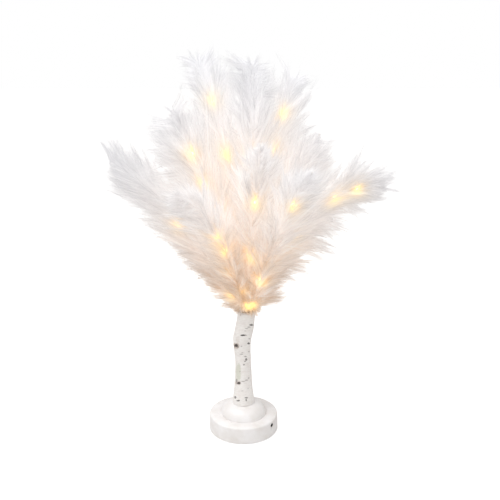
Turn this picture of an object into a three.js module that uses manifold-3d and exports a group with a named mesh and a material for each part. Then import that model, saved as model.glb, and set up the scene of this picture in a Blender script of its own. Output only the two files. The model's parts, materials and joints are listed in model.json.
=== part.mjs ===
// Feather tree lamp: a round battery base, a birch bark trunk and twelve wire branches,
// each with a white plume and a string of warm lights.
// Millimetres, +Z up. The origin is the centre of the base on the table, and -Y is the front.

import * as THREE from 'three';
import { mergeVertices } from 'three/addons/utils/BufferGeometryUtils.js';
import Module from 'manifold-3d';

const wasm = await Module();
wasm.setup();

// Fits
const fitGap = 0.3; // between two pieces that touch
const weldDistance = 1e-4; // points nearer than this are one point
const cutOverrun = 1; // how far a cut runs past the face that it opens

// Base shell
const baseDiameter = 110;
const baseHeight = 28; // the flat ring round the boss, above the table
const wallDraft = 0.6; // how much the wall leans in over its height
const edgeRadius = 3;
const shellWall = 2.4;
const skirtLift = 1; // the wall's lower edge above the table
const bossDiameter = 73.5;
const bossHeight = 18;
const bossTopDiameter = 35.2;
const bossFlareShare = 0.2; // how far the boss's curve bulges past its top, of its spread
const grooveWidth = 1.4;
const grooveDepth = 0.8;

// Trunk socket inside the boss
const pegDiameter = 24;
const leadRoom = 3.7; // between the bay and the trunk's screw, for the lead to pass
const socketWall = 2.2;
const socketFloor = 2.5;
const leadHoleOffset = 7; // from the trunk's axis, towards the front

// Base plate and the foot ring under it
const plateThickness = 2;
const plateLift = 1.8; // the plate's underside above the table
const footRingInset = 3.5; // in from the shell's outer wall
const footRingWidth = 7;

// Cells and their bay
const cellCount = 3;
const cellDiameter = 14.2;
const cellLength = 49.2;
const nubDiameter = 5.5;
const nubLength = 1.3;
const cellPitch = 15;
const cellSideGap = 0.65;
const cellRoofGap = 0.5;
const springLength = 5.5;
const bayWall = 2;
const bayEndWall = 2;

// Battery contacts
const contactThickness = 0.4;
const contactWidth = 11;
const contactHeight = 10;
const springBase = 8.4; // diameter at the plate
const springNose = 5; // diameter at the cell

// Battery door, on a barrel along its rear edge
const doorThickness = 1.7;
const doorLap = 1; // how far the door laps under the bay's walls
const barrelRadius = 1.6;
const barrelSetback = 4.2; // the barrel's axis behind the bay
const stubRadius = 0.8;
const stubLength = 2.4;
const lugWidth = 3;
const lugHeight = 4;
const lugDepth = 6;
const gripWidth = 12;
const gripDepth = 3;

// Circuit board, slide switch and charging socket
const boardLengthShare = 0.6775; // of the room across the plate at the board's front edge
const boardWidth = 13;
const boardThickness = 1.6;
const boardSetoff = 3.25; // between the bay and the board
const boardPostRadius = 2;
const chipLength = 8;
const chipWidth = 5;
const chipHeight = 1.4;
const switchLength = 12;
const switchWidth = 7;
const switchHeight = 4.5;
const switchOffset = -9; // along X, from the lamp's axis
const switchWall = 1;
const sliderLength = 3.4;
const sliderWidth = 3.2;
const sliderTravel = 4;
const sliderTip = 0.5; // the slider's lower end above the table
const sliderFlange = 1;
const socketDrop = 7.6; // the charging socket's axis below the shell's flat ring
const socketAzimuth = -34; // degrees from +X
const socketRadius = 3;
const socketBore = 1.9;
const socketLength = 9;
const socketFlangeRadius = 3.7;
const socketFlangeThickness = 2;

// Fasteners
const screwInset = 14.5; // in from the shell's outer wall
const screwAzimuths = [90, 200, 340];
const screwRadius = 1.4;
const screwLength = 9;
const screwHeadRadius = 2.8;
const screwHeadHeight = 1.2;
const screwPostRadius = 3.2;
const trunkScrewRadius = 1.8;
const trunkScrewLength = 13;
const trunkScrewHeadRadius = 3.6;
const trunkScrewHeadHeight = 2.2;

// Trunk
const trunkHeight = 159; // from the boss to the trunk's top
const trunkFootDiameter = 34;
const trunkLean = 5.6; // how far the top stands to the right of the foot
const barkThickness = 1.2;
const leadRadius = 1.2;
const leadBoreRadius = 2.7;
const leadEntry = 3; // how far the lead runs into the crown plug's foot
const plugRadius = 9.2;
const plugDepth = 22;

// The trunk's outline: height as a share of its height, lean as a share of the whole lean,
// and radius as a share of the foot's radius. It kinks left and then right below the top.
const trunkShares = [
  [0, 0, 1],
  [0.075, 0, 0.96],
  [0.165, -0.03, 0.86],
  [0.29, -0.07, 0.78],
  [0.415, -0.09, 0.72],
  [0.555, -0.24, 0.74],
  [0.655, -0.38, 0.81],
  [0.715, -0.28, 0.86],
  [0.79, 0.2, 0.86],
  [0.87, 0.6, 0.82],
  [0.945, 0.85, 0.795],
  [1, 1, 0.79],
];

// The rows of that outline whose middles the lead follows, from the first to before the last
const leadFirstRow = 3;
const leadLastRow = 9;

// Where the lead crosses the bay, as shares of the way from the board to its hole in the socket
const leadCrossShares = [0.13, 0.65, 0.94];

// Crown plug, which the branches stand in
const headRadius = 13;
const headHeight = 9;
const innerRingRadius = 4.4;
const innerRootHeight = 1.5; // the inner branches' lower ends above the trunk's top
const outerRingRadius = 9;
const outerPivotHeight = 3.4; // the outer branches' pivots above the trunk's top
const bendRange = 15; // degrees that an outer branch bends outwards

// Branches and lights
const stemRadius = 1.4;
const wireRadius = 0.45;
const bulbRadius = 1.9;
const bulbLength = 6;
const channelGap = 0.6; // the vane's channel round the stem and lights
const stemSteps = 10;

// Plumes
const plumeReach = 220; // the farthest tip from the crown's axis
const plumeRise = 387; // the highest tip above the trunk's top
const plumeWidth = 68;
const plumeThickness = 42;
const tipOverhang = 22; // vane beyond the end of the stem
const collarRadius = 4.2; // where the vane's foot is bound to the stem
const vaneSweepShare = 0.7; // how far the barbs lean forwards, of the half width
const vaneCurlShare = 0.22; // how far the edges curl outwards, of the half width
const lobeShare = 0.82; // the vane between two tufts, of its width at a tuft
const vaneSwell = 0.8; // under 1, the vane swells fast at its foot and slowly further on
const tipStart = 0.8; // share of the stem at which the vane starts to round off
const tipNarrowShare = 0.45;
const tipThinShare = 0.4;

// A section across the vane, as shares of half its width and half its thickness
const vaneSectionShares = [
  [1, 0], [0.5, 0.78], [0, 1], [-0.5, 0.78], [-1, 0], [-0.5, -0.78], [0, -1], [0.5, -0.78],
];

// A section of the channel in it: an upright slot with its corners cut off
const channelSectionShares = [
  [1, 0.5], [0.5, 1], [-0.5, 1], [-1, 0.5], [-1, -0.5], [-0.5, -1], [0.5, -1], [1, -0.5],
];

// One row for each branch, all round the crown. The azimuth is where the branch points, facing
// is where the lit side of its vane looks, and start and end are the stem's tilt from upright,
// all in degrees. Reach, rise, sway and width are shares of the plume sizes above. Foot and fill
// are the shares of the stem at which the vane starts and is at full width, and lights are the
// shares at which its bulbs sit.
const branchShares = [
  { name: 'centre', inner: true, azimuth: -90, facing: 90, reach: 0.045, sway: 0.035, rise: 1,
    start: 1, end: 2, width: 1.1, foot: 0.2, fill: 0.84, lights: [0.31, 0.66] },
  { name: 'top_left', inner: true, azimuth: 130, facing: -90, reach: 0.545, sway: 0, rise: 0.966,
    start: 3, end: 36, width: 1.25, foot: 0.2, fill: 0.84, lights: [0.1, 0.64, 0.86] },
  { name: 'top_right', inner: true, azimuth: 50, facing: -90, reach: 0.55, sway: 0, rise: 0.91,
    start: 4, end: 34, width: 1.25, foot: 0.2, fill: 0.84, lights: [0.7, 0.86] },
  { name: 'upper_left', inner: true, azimuth: 190, facing: -98, reach: 0.5, sway: 0, rise: 0.835,
    start: 14, end: 24, width: 1.3, foot: 0.29, fill: 0.84, lights: [0.25, 0.67, 0.82] },
  { name: 'upper_right', inner: true, azimuth: 2, facing: -82, reach: 0.51, sway: 0, rise: 0.735,
    start: 13, end: 32, width: 1.25, foot: 0.2, fill: 0.84, lights: [0.05, 0.33] },
  { name: 'front', inner: true, azimuth: -79, facing: -84, reach: 0.48, sway: 0, rise: 0.75,
    start: 12, end: 26, width: 1.25, foot: 0.2, fill: 0.84, lights: [0.05, 0.37, 0.7] },
  { name: 'left', azimuth: 171, facing: 75, reach: 0.99, sway: 0, rise: 0.61,
    start: 30, end: 56, width: 1.2, foot: 0.09, fill: 0.5, lights: [0.09, 0.55] },
  { name: 'right', azimuth: -19, facing: -72, reach: 0.99, sway: 0, rise: 0.54,
    start: 20, end: 94, width: 1.1, foot: 0.09, fill: 0.58, lights: [0.47, 0.78, 0.9] },
  { name: 'front_left', azimuth: -125, facing: -108, reach: 0.8, sway: 0, rise: 0.585,
    start: 15, end: 62, width: 1.25, foot: 0.09, fill: 0.8, lights: [0.46, 0.58] },
  { name: 'front_right', azimuth: -56, facing: -70, reach: 0.74, sway: 0, rise: 0.665,
    start: 22, end: 42, width: 1.25, foot: 0.09, fill: 0.8, lights: [0.24, 0.8] },
  { name: 'back_left', azimuth: 131, facing: -68, reach: 0.84, sway: 0, rise: 0.66,
    start: 28, end: 50, width: 1.3, foot: 0.09, fill: 0.8, lights: [0.5, 0.76] },
  { name: 'back_right', azimuth: 49, facing: 68, reach: 0.84, sway: 0, rise: 0.56,
    start: 30, end: 54, width: 1.3, foot: 0.09, fill: 0.8, lights: [0.09, 0.6] },
];

// Sides on round shapes
const shellSides = 36;
const ringSides = 32;
const smallSides = 10;
const trunkSides = 16;
const vaneSides = 8;
const wireSides = 6;
const bulbSides = 5;
const edgeSteps = 3;
const bossSteps = 5;
const slotSteps = 4;
const boreSteps = 14;
const leadSteps = 36;

// Places that follow from the sizes above
const baseRadius = baseDiameter / 2;
const bossRadius = bossDiameter / 2;
const bossTopRadius = bossTopDiameter / 2;
const bossTop = baseHeight + bossHeight;
const pegRadius = pegDiameter / 2;
const plateTop = plateLift + plateThickness;
const plateRadius = baseRadius - shellWall - fitGap;
const trunkTop = bossTop + trunkHeight;
const trunkFootRadius = trunkFootDiameter / 2;
const crownX = trunkLean;
const bayWidth = 2 * cellPitch + cellDiameter + 2 * cellSideGap;
const endSpace = contactThickness + fitGap;
const bayLength = cellLength + nubLength + springLength + 2 * endSpace + 2 * fitGap;
const doorTop = plateLift + doorThickness;
const cellAxis = plateTop + fitGap + cellDiameter / 2;
const bayRoof = cellAxis + cellDiameter / 2 + cellRoofGap;
const trunkScrewTop = bayRoof + bayWall + leadRoom + trunkScrewHeadHeight;
const socketUnderside = trunkScrewTop + fitGap;
const socketTop = socketUnderside + socketFloor;
const pegFoot = socketTop + fitGap;
const barrelY = bayWidth / 2 + barrelSetback;
const barrelZ = plateLift + barrelRadius;
const doorFront = -bayWidth / 2 - doorLap;
const doorHalfLength = bayLength / 2 + doorLap;
const boardUnderside = plateTop + fitGap + switchHeight + fitGap;
const boardRear = bayWidth / 2 + bayWall + boardSetoff;
const boardFront = boardRear + boardWidth;
const boardLength = 2 * boardLengthShare * Math.sqrt(plateRadius ** 2 - boardFront ** 2);
const boardY = -boardFront + boardWidth / 2;
const socketHeight = baseHeight - socketDrop;
const screwPitchRadius = baseRadius - screwInset;
const plugFoot = trunkTop - plugDepth;
const wireOffset = stemRadius + fitGap + wireRadius;
const bulbOffset = stemRadius + fitGap + bulbRadius;
const channelFloor = -stemRadius - channelGap;
const channelMiddle = (channelFloor + wireOffset + wireRadius + channelGap) / 2;

const degrees = Math.PI / 180;

// Solids and meshes

function toSolid(geometry) {
  const bare = geometry.clone();
  bare.deleteAttribute('normal');
  bare.deleteAttribute('uv');
  const merged = mergeVertices(bare, weldDistance);
  const mesh = new wasm.Mesh({
    numProp: 3,
    vertProperties: new Float32Array(merged.attributes.position.array),
    triVerts: new Uint32Array(merged.index.array),
  });
  return new wasm.Manifold(mesh);
}

function toGeometry(solid) {
  const mesh = solid.getMesh();
  const geometry = new THREE.BufferGeometry();
  geometry.setAttribute('position', new THREE.BufferAttribute(new Float32Array(mesh.vertProperties), 3));
  geometry.setIndex(new THREE.BufferAttribute(new Uint32Array(mesh.triVerts), 1));
  geometry.computeVertexNormals();
  return geometry;
}

function join(...geometries) {
  const solids = geometries.map(toSolid);
  return toGeometry(solids.reduce((all, solid) => all.add(solid)));
}

function cut(geometry, ...tools) {
  const solids = tools.map(toSolid);
  return toGeometry(solids.reduce((left, solid) => left.subtract(solid), toSolid(geometry)));
}

function box(x0, x1, y0, y1, z0, z1) {
  const geometry = new THREE.BoxGeometry(x1 - x0, y1 - y0, z1 - z0);
  return geometry.translate((x0 + x1) / 2, (y0 + y1) / 2, (z0 + z1) / 2);
}

// A closed outline of [radius, height] points, turned round the Z axis.
function turned(points, sides) {
  const outline = points.map(([radius, height]) => new THREE.Vector2(radius, height));
  return new THREE.LatheGeometry(outline, sides).rotateX(Math.PI / 2);
}

function rod(radius, z0, z1, sides = smallSides) {
  return turned([[0, z0], [radius, z0], [radius, z1], [0, z1]], sides);
}

// The points of a quarter of an ellipse, from its foot on the outside to its crest.
function quarter(centreRadius, centreHeight, across, high, from, to, steps) {
  const points = [];
  for (let i = 0; i <= steps; i += 1) {
    const angle = from + ((to - from) * i) / steps;
    points.push([centreRadius + across * Math.cos(angle), centreHeight + high * Math.sin(angle)]);
  }
  return points;
}

function around(radius, azimuth) {
  return [radius * Math.cos(azimuth * degrees), radius * Math.sin(azimuth * degrees)];
}

// A skin through rings of points. Open skins are closed by a point at each end, and a looped
// skin joins its last ring to its first.
function skin(rings, ends = null) {
  const sides = rings[0].length;
  const points = rings.flat();
  const faces = [];
  const last = ends ? rings.length - 1 : rings.length;
  for (let i = 0; i < last; i += 1) {
    const low = i * sides;
    const high = ((i + 1) % rings.length) * sides;
    for (let j = 0; j < sides; j += 1) {
      const next = (j + 1) % sides;
      faces.push(low + j, low + next, high + next, low + j, high + next, high + j);
    }
  }
  if (ends) {
    const first = points.push(ends[0]) - 1;
    const final = points.push(ends[1]) - 1;
    const top = (rings.length - 1) * sides;
    for (let j = 0; j < sides; j += 1) {
      const next = (j + 1) % sides;
      faces.push(first, next, j, final, top + j, top + next);
    }
  }
  const geometry = new THREE.BufferGeometry().setFromPoints(points);
  geometry.setIndex(facingOut(points, faces));
  geometry.computeVertexNormals();
  return geometry;
}

// Turns every face over if the solid they close is inside out.
function facingOut(points, faces) {
  let volume = 0;
  for (let i = 0; i < faces.length; i += 3) {
    const [a, b, c] = [points[faces[i]], points[faces[i + 1]], points[faces[i + 2]]];
    volume += a.dot(b.clone().cross(c));
  }
  return volume > 0 ? faces : faces.reverse();
}

function tubeAlong(curve, radius, steps, sides) {
  const section = new THREE.Shape();
  for (let i = 0; i < sides; i += 1) {
    const angle = (2 * Math.PI * i) / sides;
    const place = [radius * Math.cos(angle), radius * Math.sin(angle)];
    if (i === 0) section.moveTo(...place);
    else section.lineTo(...place);
  }
  section.closePath();
  return new THREE.ExtrudeGeometry(section, { steps, extrudePath: curve, bevelEnabled: false });
}

// Base shell: the moulded cover, with the boss and the trunk's socket

function shellProfile() {
  const topRadius = baseRadius - wallDraft;
  const edgeCentre = topRadius - edgeRadius;
  const grooveInner = bossRadius - grooveWidth / 2;
  const bossCentre = bossTopRadius - (bossRadius - bossTopRadius) * bossFlareShare;
  const across = grooveInner - bossCentre;
  const grooveFloor = baseHeight - grooveDepth;
  const high = bossHeight + grooveDepth;
  const crest = Math.acos((bossTopRadius - bossCentre) / across);
  const innerAcross = across - shellWall;
  const innerHigh = high - shellWall;
  const tubeRadius = pegRadius + fitGap + socketWall;
  const innerCrest = Math.acos((tubeRadius - bossCentre) / innerAcross);
  const roof = baseHeight - shellWall;
  const innerEdge = edgeRadius - shellWall / 2;
  return [
    [baseRadius, skirtLift],
    ...quarter(edgeCentre, baseHeight - edgeRadius, edgeRadius, edgeRadius, 0, Math.PI / 2, edgeSteps),
    [bossRadius + grooveWidth / 2, baseHeight],
    ...quarter(bossCentre, grooveFloor, across, high, 0, crest, bossSteps),
    [pegRadius + fitGap, bossTop],
    [pegRadius + fitGap, socketTop],
    [trunkScrewRadius + fitGap, socketTop],
    [trunkScrewRadius + fitGap, socketUnderside],
    [tubeRadius, socketUnderside],
    ...quarter(bossCentre, grooveFloor, innerAcross, innerHigh, innerCrest, 0, bossSteps),
    [grooveInner - shellWall, roof - grooveDepth],
    [bossRadius + grooveWidth / 2, roof - grooveDepth],
    [bossRadius + grooveWidth, roof],
    [topRadius - shellWall - innerEdge, roof],
    [topRadius - shellWall, roof - innerEdge],
    [baseRadius - shellWall, skirtLift],
    [baseRadius, skirtLift],
  ];
}

function atSocket(geometry) {
  const [x, y] = around(baseRadius, socketAzimuth);
  geometry.rotateY(-Math.PI / 2);
  geometry.rotateZ(socketAzimuth * degrees);
  return geometry.translate(x, y, socketHeight);
}

function makeBaseShell() {
  const cover = turned(shellProfile(), shellSides);
  const roof = baseHeight - shellWall / 2;
  const posts = screwAzimuths.map((azimuth) => {
    const [x, y] = around(screwPitchRadius, azimuth);
    return rod(screwPostRadius, plateTop + fitGap, roof).translate(x, y, 0);
  });
  const bores = screwAzimuths.map((azimuth) => {
    const [x, y] = around(screwPitchRadius, azimuth);
    const depth = plateLift + screwLength + fitGap;
    return rod(screwRadius + fitGap, plateLift, depth, smallSides).translate(x, y, 0);
  });
  const inletHole = atSocket(rod(socketRadius + fitGap, -cutOverrun, shellWall + cutOverrun));
  const floorMiddle = socketTop - socketFloor / 2;
  const leadHole = rod(leadBoreRadius, floorMiddle - socketFloor, floorMiddle + socketFloor);
  leadHole.translate(0, -leadHoleOffset, 0);
  return cut(join(cover, ...posts), ...bores, inletHole, leadHole);
}

// Base plate: closes the shell from below and holds the battery bay

function makeBasePlate() {
  const disc = rod(plateRadius, plateLift, plateTop, shellSides);
  const halfWidth = bayWidth / 2;
  const halfLength = bayLength / 2;
  const wide = halfWidth + bayWall;
  const long = halfLength + bayEndWall;
  const well = box(-long, long, -wide, wide, plateTop - plateThickness / 2, bayRoof + bayWall);
  const lugs = [-1, 1].map((side) => {
    const near = doorHalfLength + fitGap;
    const x = [side * near, side * (near + lugWidth)].sort((a, b) => a - b);
    return box(...x, barrelY - lugDepth / 2, barrelY + lugDepth / 2, plateLift, plateLift + lugHeight);
  });
  const posts = [-1, 1].map((side) => {
    const foot = plateTop - plateThickness / 2;
    const post = rod(boardPostRadius, foot, boardUnderside - fitGap, smallSides);
    return post.translate(side * (boardLength / 2 - 2 * boardPostRadius), boardY, 0);
  });
  const body = join(disc, well, ...lugs, ...posts);
  const cavity = box(-halfLength, halfLength, -halfWidth, halfWidth, plateLift - cutOverrun, bayRoof);
  const edge = doorHalfLength + fitGap;
  const front = doorFront - fitGap;
  const rear = barrelY + barrelRadius + fitGap;
  const opening = box(-edge, edge, front, rear, plateLift - cutOverrun, plateTop);
  const near = barrelY - barrelRadius - fitGap;
  const barrelRoom = box(-edge, edge, near, rear, plateLift, plateLift + lugHeight);
  const far = edge + lugWidth + cutOverrun;
  const pivot = along('x', rod(stubRadius + fitGap, -far, far));
  pivot.translate(0, barrelY, barrelZ);
  const grip = box(-gripWidth / 2, gripWidth / 2, front - gripDepth, front + cutOverrun,
    plateLift - cutOverrun, plateLift + plateThickness / 2);
  const screwHoles = screwAzimuths.map((azimuth) => {
    const [x, y] = around(screwPitchRadius, azimuth);
    return rod(screwRadius + fitGap, plateLift - cutOverrun, plateTop + cutOverrun).translate(x, y, 0);
  });
  const slotHalf = (sliderLength + sliderTravel) / 2 + fitGap;
  const slotCentre = switchOffset + sliderTravel / 2;
  const slotSide = sliderWidth / 2 + fitGap;
  const slot = box(slotCentre - slotHalf, slotCentre + slotHalf, boardY - slotSide, boardY + slotSide,
    plateLift - cutOverrun, plateTop + cutOverrun);
  return cut(body, cavity, opening, barrelRoom, pivot, grip, slot, ...screwHoles);
}

// Turns a shape made along Z to lie along another axis.
function along(axis, geometry) {
  return axis === 'x' ? geometry.rotateY(Math.PI / 2) : geometry.rotateX(-Math.PI / 2);
}

function makeBatteryDoor() {
  const panel = box(-doorHalfLength, doorHalfLength, doorFront, barrelY, plateLift, doorTop);
  const barrel = along('x', rod(barrelRadius, -doorHalfLength, doorHalfLength, smallSides));
  const reach = doorHalfLength + stubLength;
  const stubs = along('x', rod(stubRadius, -reach, reach, smallSides));
  barrel.translate(0, barrelY, barrelZ);
  stubs.translate(0, barrelY, barrelZ);
  return join(panel, barrel, stubs);
}

function makeFootRing() {
  const outer = baseRadius - footRingInset;
  const inner = outer - footRingWidth;
  const top = plateLift - fitGap;
  return turned([[inner, 0], [outer, 0], [outer, top], [inner, top], [inner, 0]], ringSides);
}

// A cell with its nub towards +Z before it is laid along X.
function makeCell(index) {
  const radius = cellDiameter / 2;
  const nub = nubDiameter / 2;
  const cell = turned([
    [0, 0], [radius, 0], [radius, cellLength], [nub, cellLength],
    [nub, cellLength + nubLength], [0, cellLength + nubLength],
  ], trunkSides);
  const towards = index % 2 === 0 ? 1 : -1;
  const nubEnd = towards * (bayLength / 2 - endSpace - fitGap);
  along('x', cell);
  if (towards < 0) cell.rotateZ(Math.PI);
  return cell.translate(nubEnd - towards * (cellLength + nubLength), (index - 1) * cellPitch, cellAxis);
}

// A contact plate at one end of the bay. It spans the cells named, and has a spring for the
// one that shows its flat end there.
function makeContact(side, first, last, springCell = null) {
  const wallX = side * (bayLength / 2 - fitGap);
  const faceX = wallX - side * contactThickness;
  const x = [wallX, faceX].sort((a, b) => a - b);
  const y0 = (first - 1) * cellPitch - contactWidth / 2;
  const y1 = (last - 1) * cellPitch + contactWidth / 2;
  const plate = box(...x, y0, y1, cellAxis - contactHeight / 2, cellAxis + contactHeight / 2);
  if (springCell === null) return plate;
  const spring = along('x', turned([
    [0, -contactThickness / 2], [springBase / 2, -contactThickness / 2],
    [springNose / 2, springLength], [0, springLength],
  ], smallSides));
  if (side > 0) spring.rotateZ(Math.PI);
  spring.translate(faceX, (springCell - 1) * cellPitch, cellAxis);
  return join(plate, spring);
}

function makeBoard() {
  const top = boardUnderside + boardThickness;
  const board = box(-boardLength / 2, boardLength / 2, -boardFront, -boardFront + boardWidth,
    boardUnderside, top);
  const chip = box(-chipLength / 2, chipLength / 2, boardY - chipWidth / 2, boardY + chipWidth / 2,
    top - boardThickness / 2, top + chipHeight);
  return join(board, chip.translate(-boardLength / 4, 0, 0));
}

function makeSwitchBody() {
  const half = switchLength / 2;
  const side = switchWidth / 2;
  const low = plateTop + fitGap;
  const x = switchOffset + sliderTravel / 2;
  const casing = box(x - half, x + half, boardY - side, boardY + side, low, low + switchHeight);
  const room = box(x - half + switchWall, x + half - switchWall, boardY - side + switchWall,
    boardY + side - switchWall, low - cutOverrun, low + sliderFlange + 2 * fitGap);
  return cut(casing, room);
}

function makeSlider() {
  const half = sliderLength / 2;
  const side = sliderWidth / 2;
  const flangeLow = plateTop + fitGap + fitGap;
  const knob = box(switchOffset - half, switchOffset + half, boardY - side, boardY + side,
    sliderTip, flangeLow + sliderFlange / 2);
  const flangeHalf = half + switchWall / 2;
  const flangeSide = side + switchWall / 2;
  const flange = box(switchOffset - flangeHalf, switchOffset + flangeHalf, boardY - flangeSide,
    boardY + flangeSide, flangeLow, flangeLow + sliderFlange);
  return join(knob, flange);
}

function makeChargingSocket() {
  const flangeStart = shellWall + wallDraft + 2 * fitGap;
  return atSocket(turned([
    [0, socketLength / 2], [socketBore, socketLength / 2], [socketBore, wallDraft],
    [socketRadius, wallDraft], [socketRadius, flangeStart], [socketFlangeRadius, flangeStart],
    [socketFlangeRadius, flangeStart + socketFlangeThickness],
    [socketRadius, flangeStart + socketFlangeThickness], [socketRadius, socketLength], [0, socketLength],
  ], smallSides));
}

function makeScrew(headBase, radius, length, headRadius, headHeight) {
  return turned([
    [0, headBase - headHeight], [headRadius, headBase - headHeight], [headRadius, headBase],
    [radius, headBase], [radius, headBase + length], [0, headBase + length],
  ], smallSides);
}

// Trunk

function trunkRings(inset) {
  return trunkShares.map(([height, lean, girth]) => {
    const radius = trunkFootRadius * girth - inset;
    const ring = [];
    for (let i = 0; i < trunkSides; i += 1) {
      const angle = (2 * Math.PI * i) / trunkSides;
      ring.push(new THREE.Vector3(
        trunkLean * lean + radius * Math.cos(angle), radius * Math.sin(angle),
        bossTop + fitGap + height * (trunkHeight - fitGap),
      ));
    }
    return ring;
  });
}

function makeBarkWrap() {
  return skin([...trunkRings(0), ...trunkRings(barkThickness).reverse()]);
}

// The lead's way up inside the trunk: in front of the trunk's screw, then up the middle.
function trunkRoute() {
  const front = [pegFoot, bossTop].map((z) => new THREE.Vector3(0, -leadHoleOffset, z));
  const middle = trunkShares.slice(leadFirstRow, leadLastRow).map(([height, lean]) => (
    new THREE.Vector3(trunkLean * lean, 0, bossTop + height * trunkHeight)));
  return [...front, ...middle];
}

function makeTrunkCore() {
  const wood = skin(trunkRings(barkThickness + fitGap), [
    new THREE.Vector3(0, 0, bossTop + fitGap), new THREE.Vector3(crownX, 0, trunkTop),
  ]);
  const peg = rod(pegRadius, pegFoot, bossTop + edgeRadius, trunkSides);
  const boreCurve = new THREE.CatmullRomCurve3([
    new THREE.Vector3(0, -leadHoleOffset, pegFoot - cutOverrun), ...trunkRoute().slice(1),
    new THREE.Vector3(crownX, 0, plugFoot + cutOverrun),
  ]);
  const bore = tubeAlong(boreCurve, leadBoreRadius, boreSteps, wireSides);
  const recess = rod(plugRadius + fitGap, plugFoot - fitGap, trunkTop + cutOverrun, trunkSides);
  recess.translate(crownX, 0, 0);
  const screwTop = pegFoot + trunkScrewLength - socketFloor;
  const screwHole = rod(trunkScrewRadius + fitGap, pegFoot - cutOverrun, screwTop);
  return cut(join(wood, peg), bore, recess, screwHole);
}

// The lead rises from the board, bends over the bay and turns up through the socket's floor.
function makeLead() {
  const boardTop = boardUnderside + boardThickness;
  const over = (bayRoof + bayWall + socketUnderside) / 2;
  const y = -leadHoleOffset;
  const curve = new THREE.CatmullRomCurve3([
    new THREE.Vector3(0, boardY, boardTop + fitGap),
    new THREE.Vector3(0, boardY, (boardTop + over) / 2),
    ...leadCrossShares.map((share, i) => (
      new THREE.Vector3(0, boardY + (y - boardY) * share, over + (i - 1) * leadRadius))),
    new THREE.Vector3(0, y, (over + pegFoot) / 2 + leadRadius),
    ...trunkRoute(),
    new THREE.Vector3(crownX, 0, plugFoot - leadEntry),
    new THREE.Vector3(crownX, 0, plugFoot + leadEntry),
  ]);
  return tubeAlong(curve, leadRadius, leadSteps, wireSides);
}

// Crown plug: a peg in the trunk's top under a dome, bored and slotted for the branches

// A bore has to clear the corners of the rod in it, so its own flats stand off by the gap.
function boreFor(radius, sides) {
  return (radius + fitGap) / Math.cos(Math.PI / sides);
}

function slotFor(branch) {
  const clear = stemRadius + fitGap;
  const rest = branch.start * degrees;
  const bent = (branch.start + bendRange) * degrees;
  const reach = 2 * headHeight;
  const [restX, restY] = [Math.sin(rest), Math.cos(rest)];
  const [bentX, bentY] = [Math.sin(bent), Math.cos(bent)];
  const outline = [[reach * restX - clear * restY, reach * restY + clear * restX]];
  for (let i = 0; i <= slotSteps; i += 1) {
    const angle = Math.PI - rest + ((Math.PI + rest - bent) * i) / slotSteps;
    outline.push([clear * Math.cos(angle), clear * Math.sin(angle)]);
  }
  outline.push([reach * bentX + clear * bentY, reach * bentY - clear * bentX]);
  const shape = new THREE.Shape(outline.map(([x, y]) => new THREE.Vector2(x, y)));
  const slot = new THREE.ExtrudeGeometry(shape, { depth: 2 * clear, bevelEnabled: false });
  slot.translate(0, 0, -clear).rotateX(Math.PI / 2).rotateZ(branch.azimuth * degrees);
  return slot.translate(...branch.root.toArray());
}

function holeFor(branch) {
  const hole = rod(boreFor(stemRadius, vaneSides), -fitGap, 2 * headHeight, vaneSides);
  hole.rotateY(branch.start * degrees).rotateZ(branch.azimuth * degrees);
  return hole.translate(...branch.root.toArray());
}

function makeCrownPlug() {
  const dome = quarter(0, fitGap, headRadius, headHeight - fitGap, 0, Math.PI / 2, bossSteps);
  const plug = turned([
    [0, -plugDepth], [plugRadius, -plugDepth], [plugRadius, fitGap],
    ...dome.slice(0, -1), [0, headHeight],
  ], trunkSides).translate(crownX, 0, trunkTop);
  const socketRoof = plugFoot + leadEntry + fitGap;
  const leadSocket = rod(boreFor(leadRadius, smallSides), plugFoot - cutOverrun, socketRoof);
  leadSocket.translate(crownX, 0, 0);
  const roots = branches.map((branch) => (branch.inner ? holeFor(branch) : slotFor(branch)));
  return cut(plug, leadSocket, ...roots);
}

// Branches

// The direction that leans from upright by a tilt, towards an azimuth.
function leaning(tilt, azimuth) {
  const [x, y] = around(Math.sin(tilt * degrees), azimuth);
  return new THREE.Vector3(x, y, Math.cos(tilt * degrees));
}

// Adds to one row of the table its root, its stem's curve, and the level direction in which the
// lit side of its vane looks.
function layBranch(row) {
  const ring = row.inner ? innerRingRadius : outerRingRadius;
  const rootHeight = row.inner ? innerRootHeight : outerPivotHeight;
  const rootRadius = row.name === 'centre' ? 0 : ring;
  const [rootX, rootY] = around(rootRadius, row.azimuth);
  const root = new THREE.Vector3(crownX + rootX, rootY, trunkTop + rootHeight);
  const lit = new THREE.Vector3(...around(1, row.facing), 0);
  const [tipX, tipY] = around(row.reach * plumeReach, row.azimuth);
  const [swayX, swayY] = around(row.sway * plumeReach, row.azimuth + 90);
  const end = new THREE.Vector3(crownX + tipX + swayX, tipY + swayY, trunkTop + row.rise * plumeRise);
  end.addScaledVector(leaning(row.end, row.azimuth), -tipOverhang);
  const third = root.distanceTo(end) / 3;
  const low = root.clone().addScaledVector(leaning(row.start, row.azimuth), third);
  const high = end.clone().addScaledVector(leaning(row.end, row.azimuth), -third);
  const curve = new THREE.CubicBezierCurve3(root, low, high, end);
  return { ...row, root, lit, curve, length: curve.getLength() };
}

// A point beside the stem: along is a share of its length, side lies across the vane, rise
// stands off on the vane's lit side and ahead runs on along the stem.
function beside(branch, along, side, rise, ahead = 0) {
  const tangent = branch.curve.getTangentAt(along);
  const across = branch.lit.clone().cross(tangent).normalize();
  const off = tangent.clone().cross(across);
  return branch.curve.getPointAt(along).addScaledVector(across, side)
    .addScaledVector(off, rise).addScaledVector(tangent, ahead);
}

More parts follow.
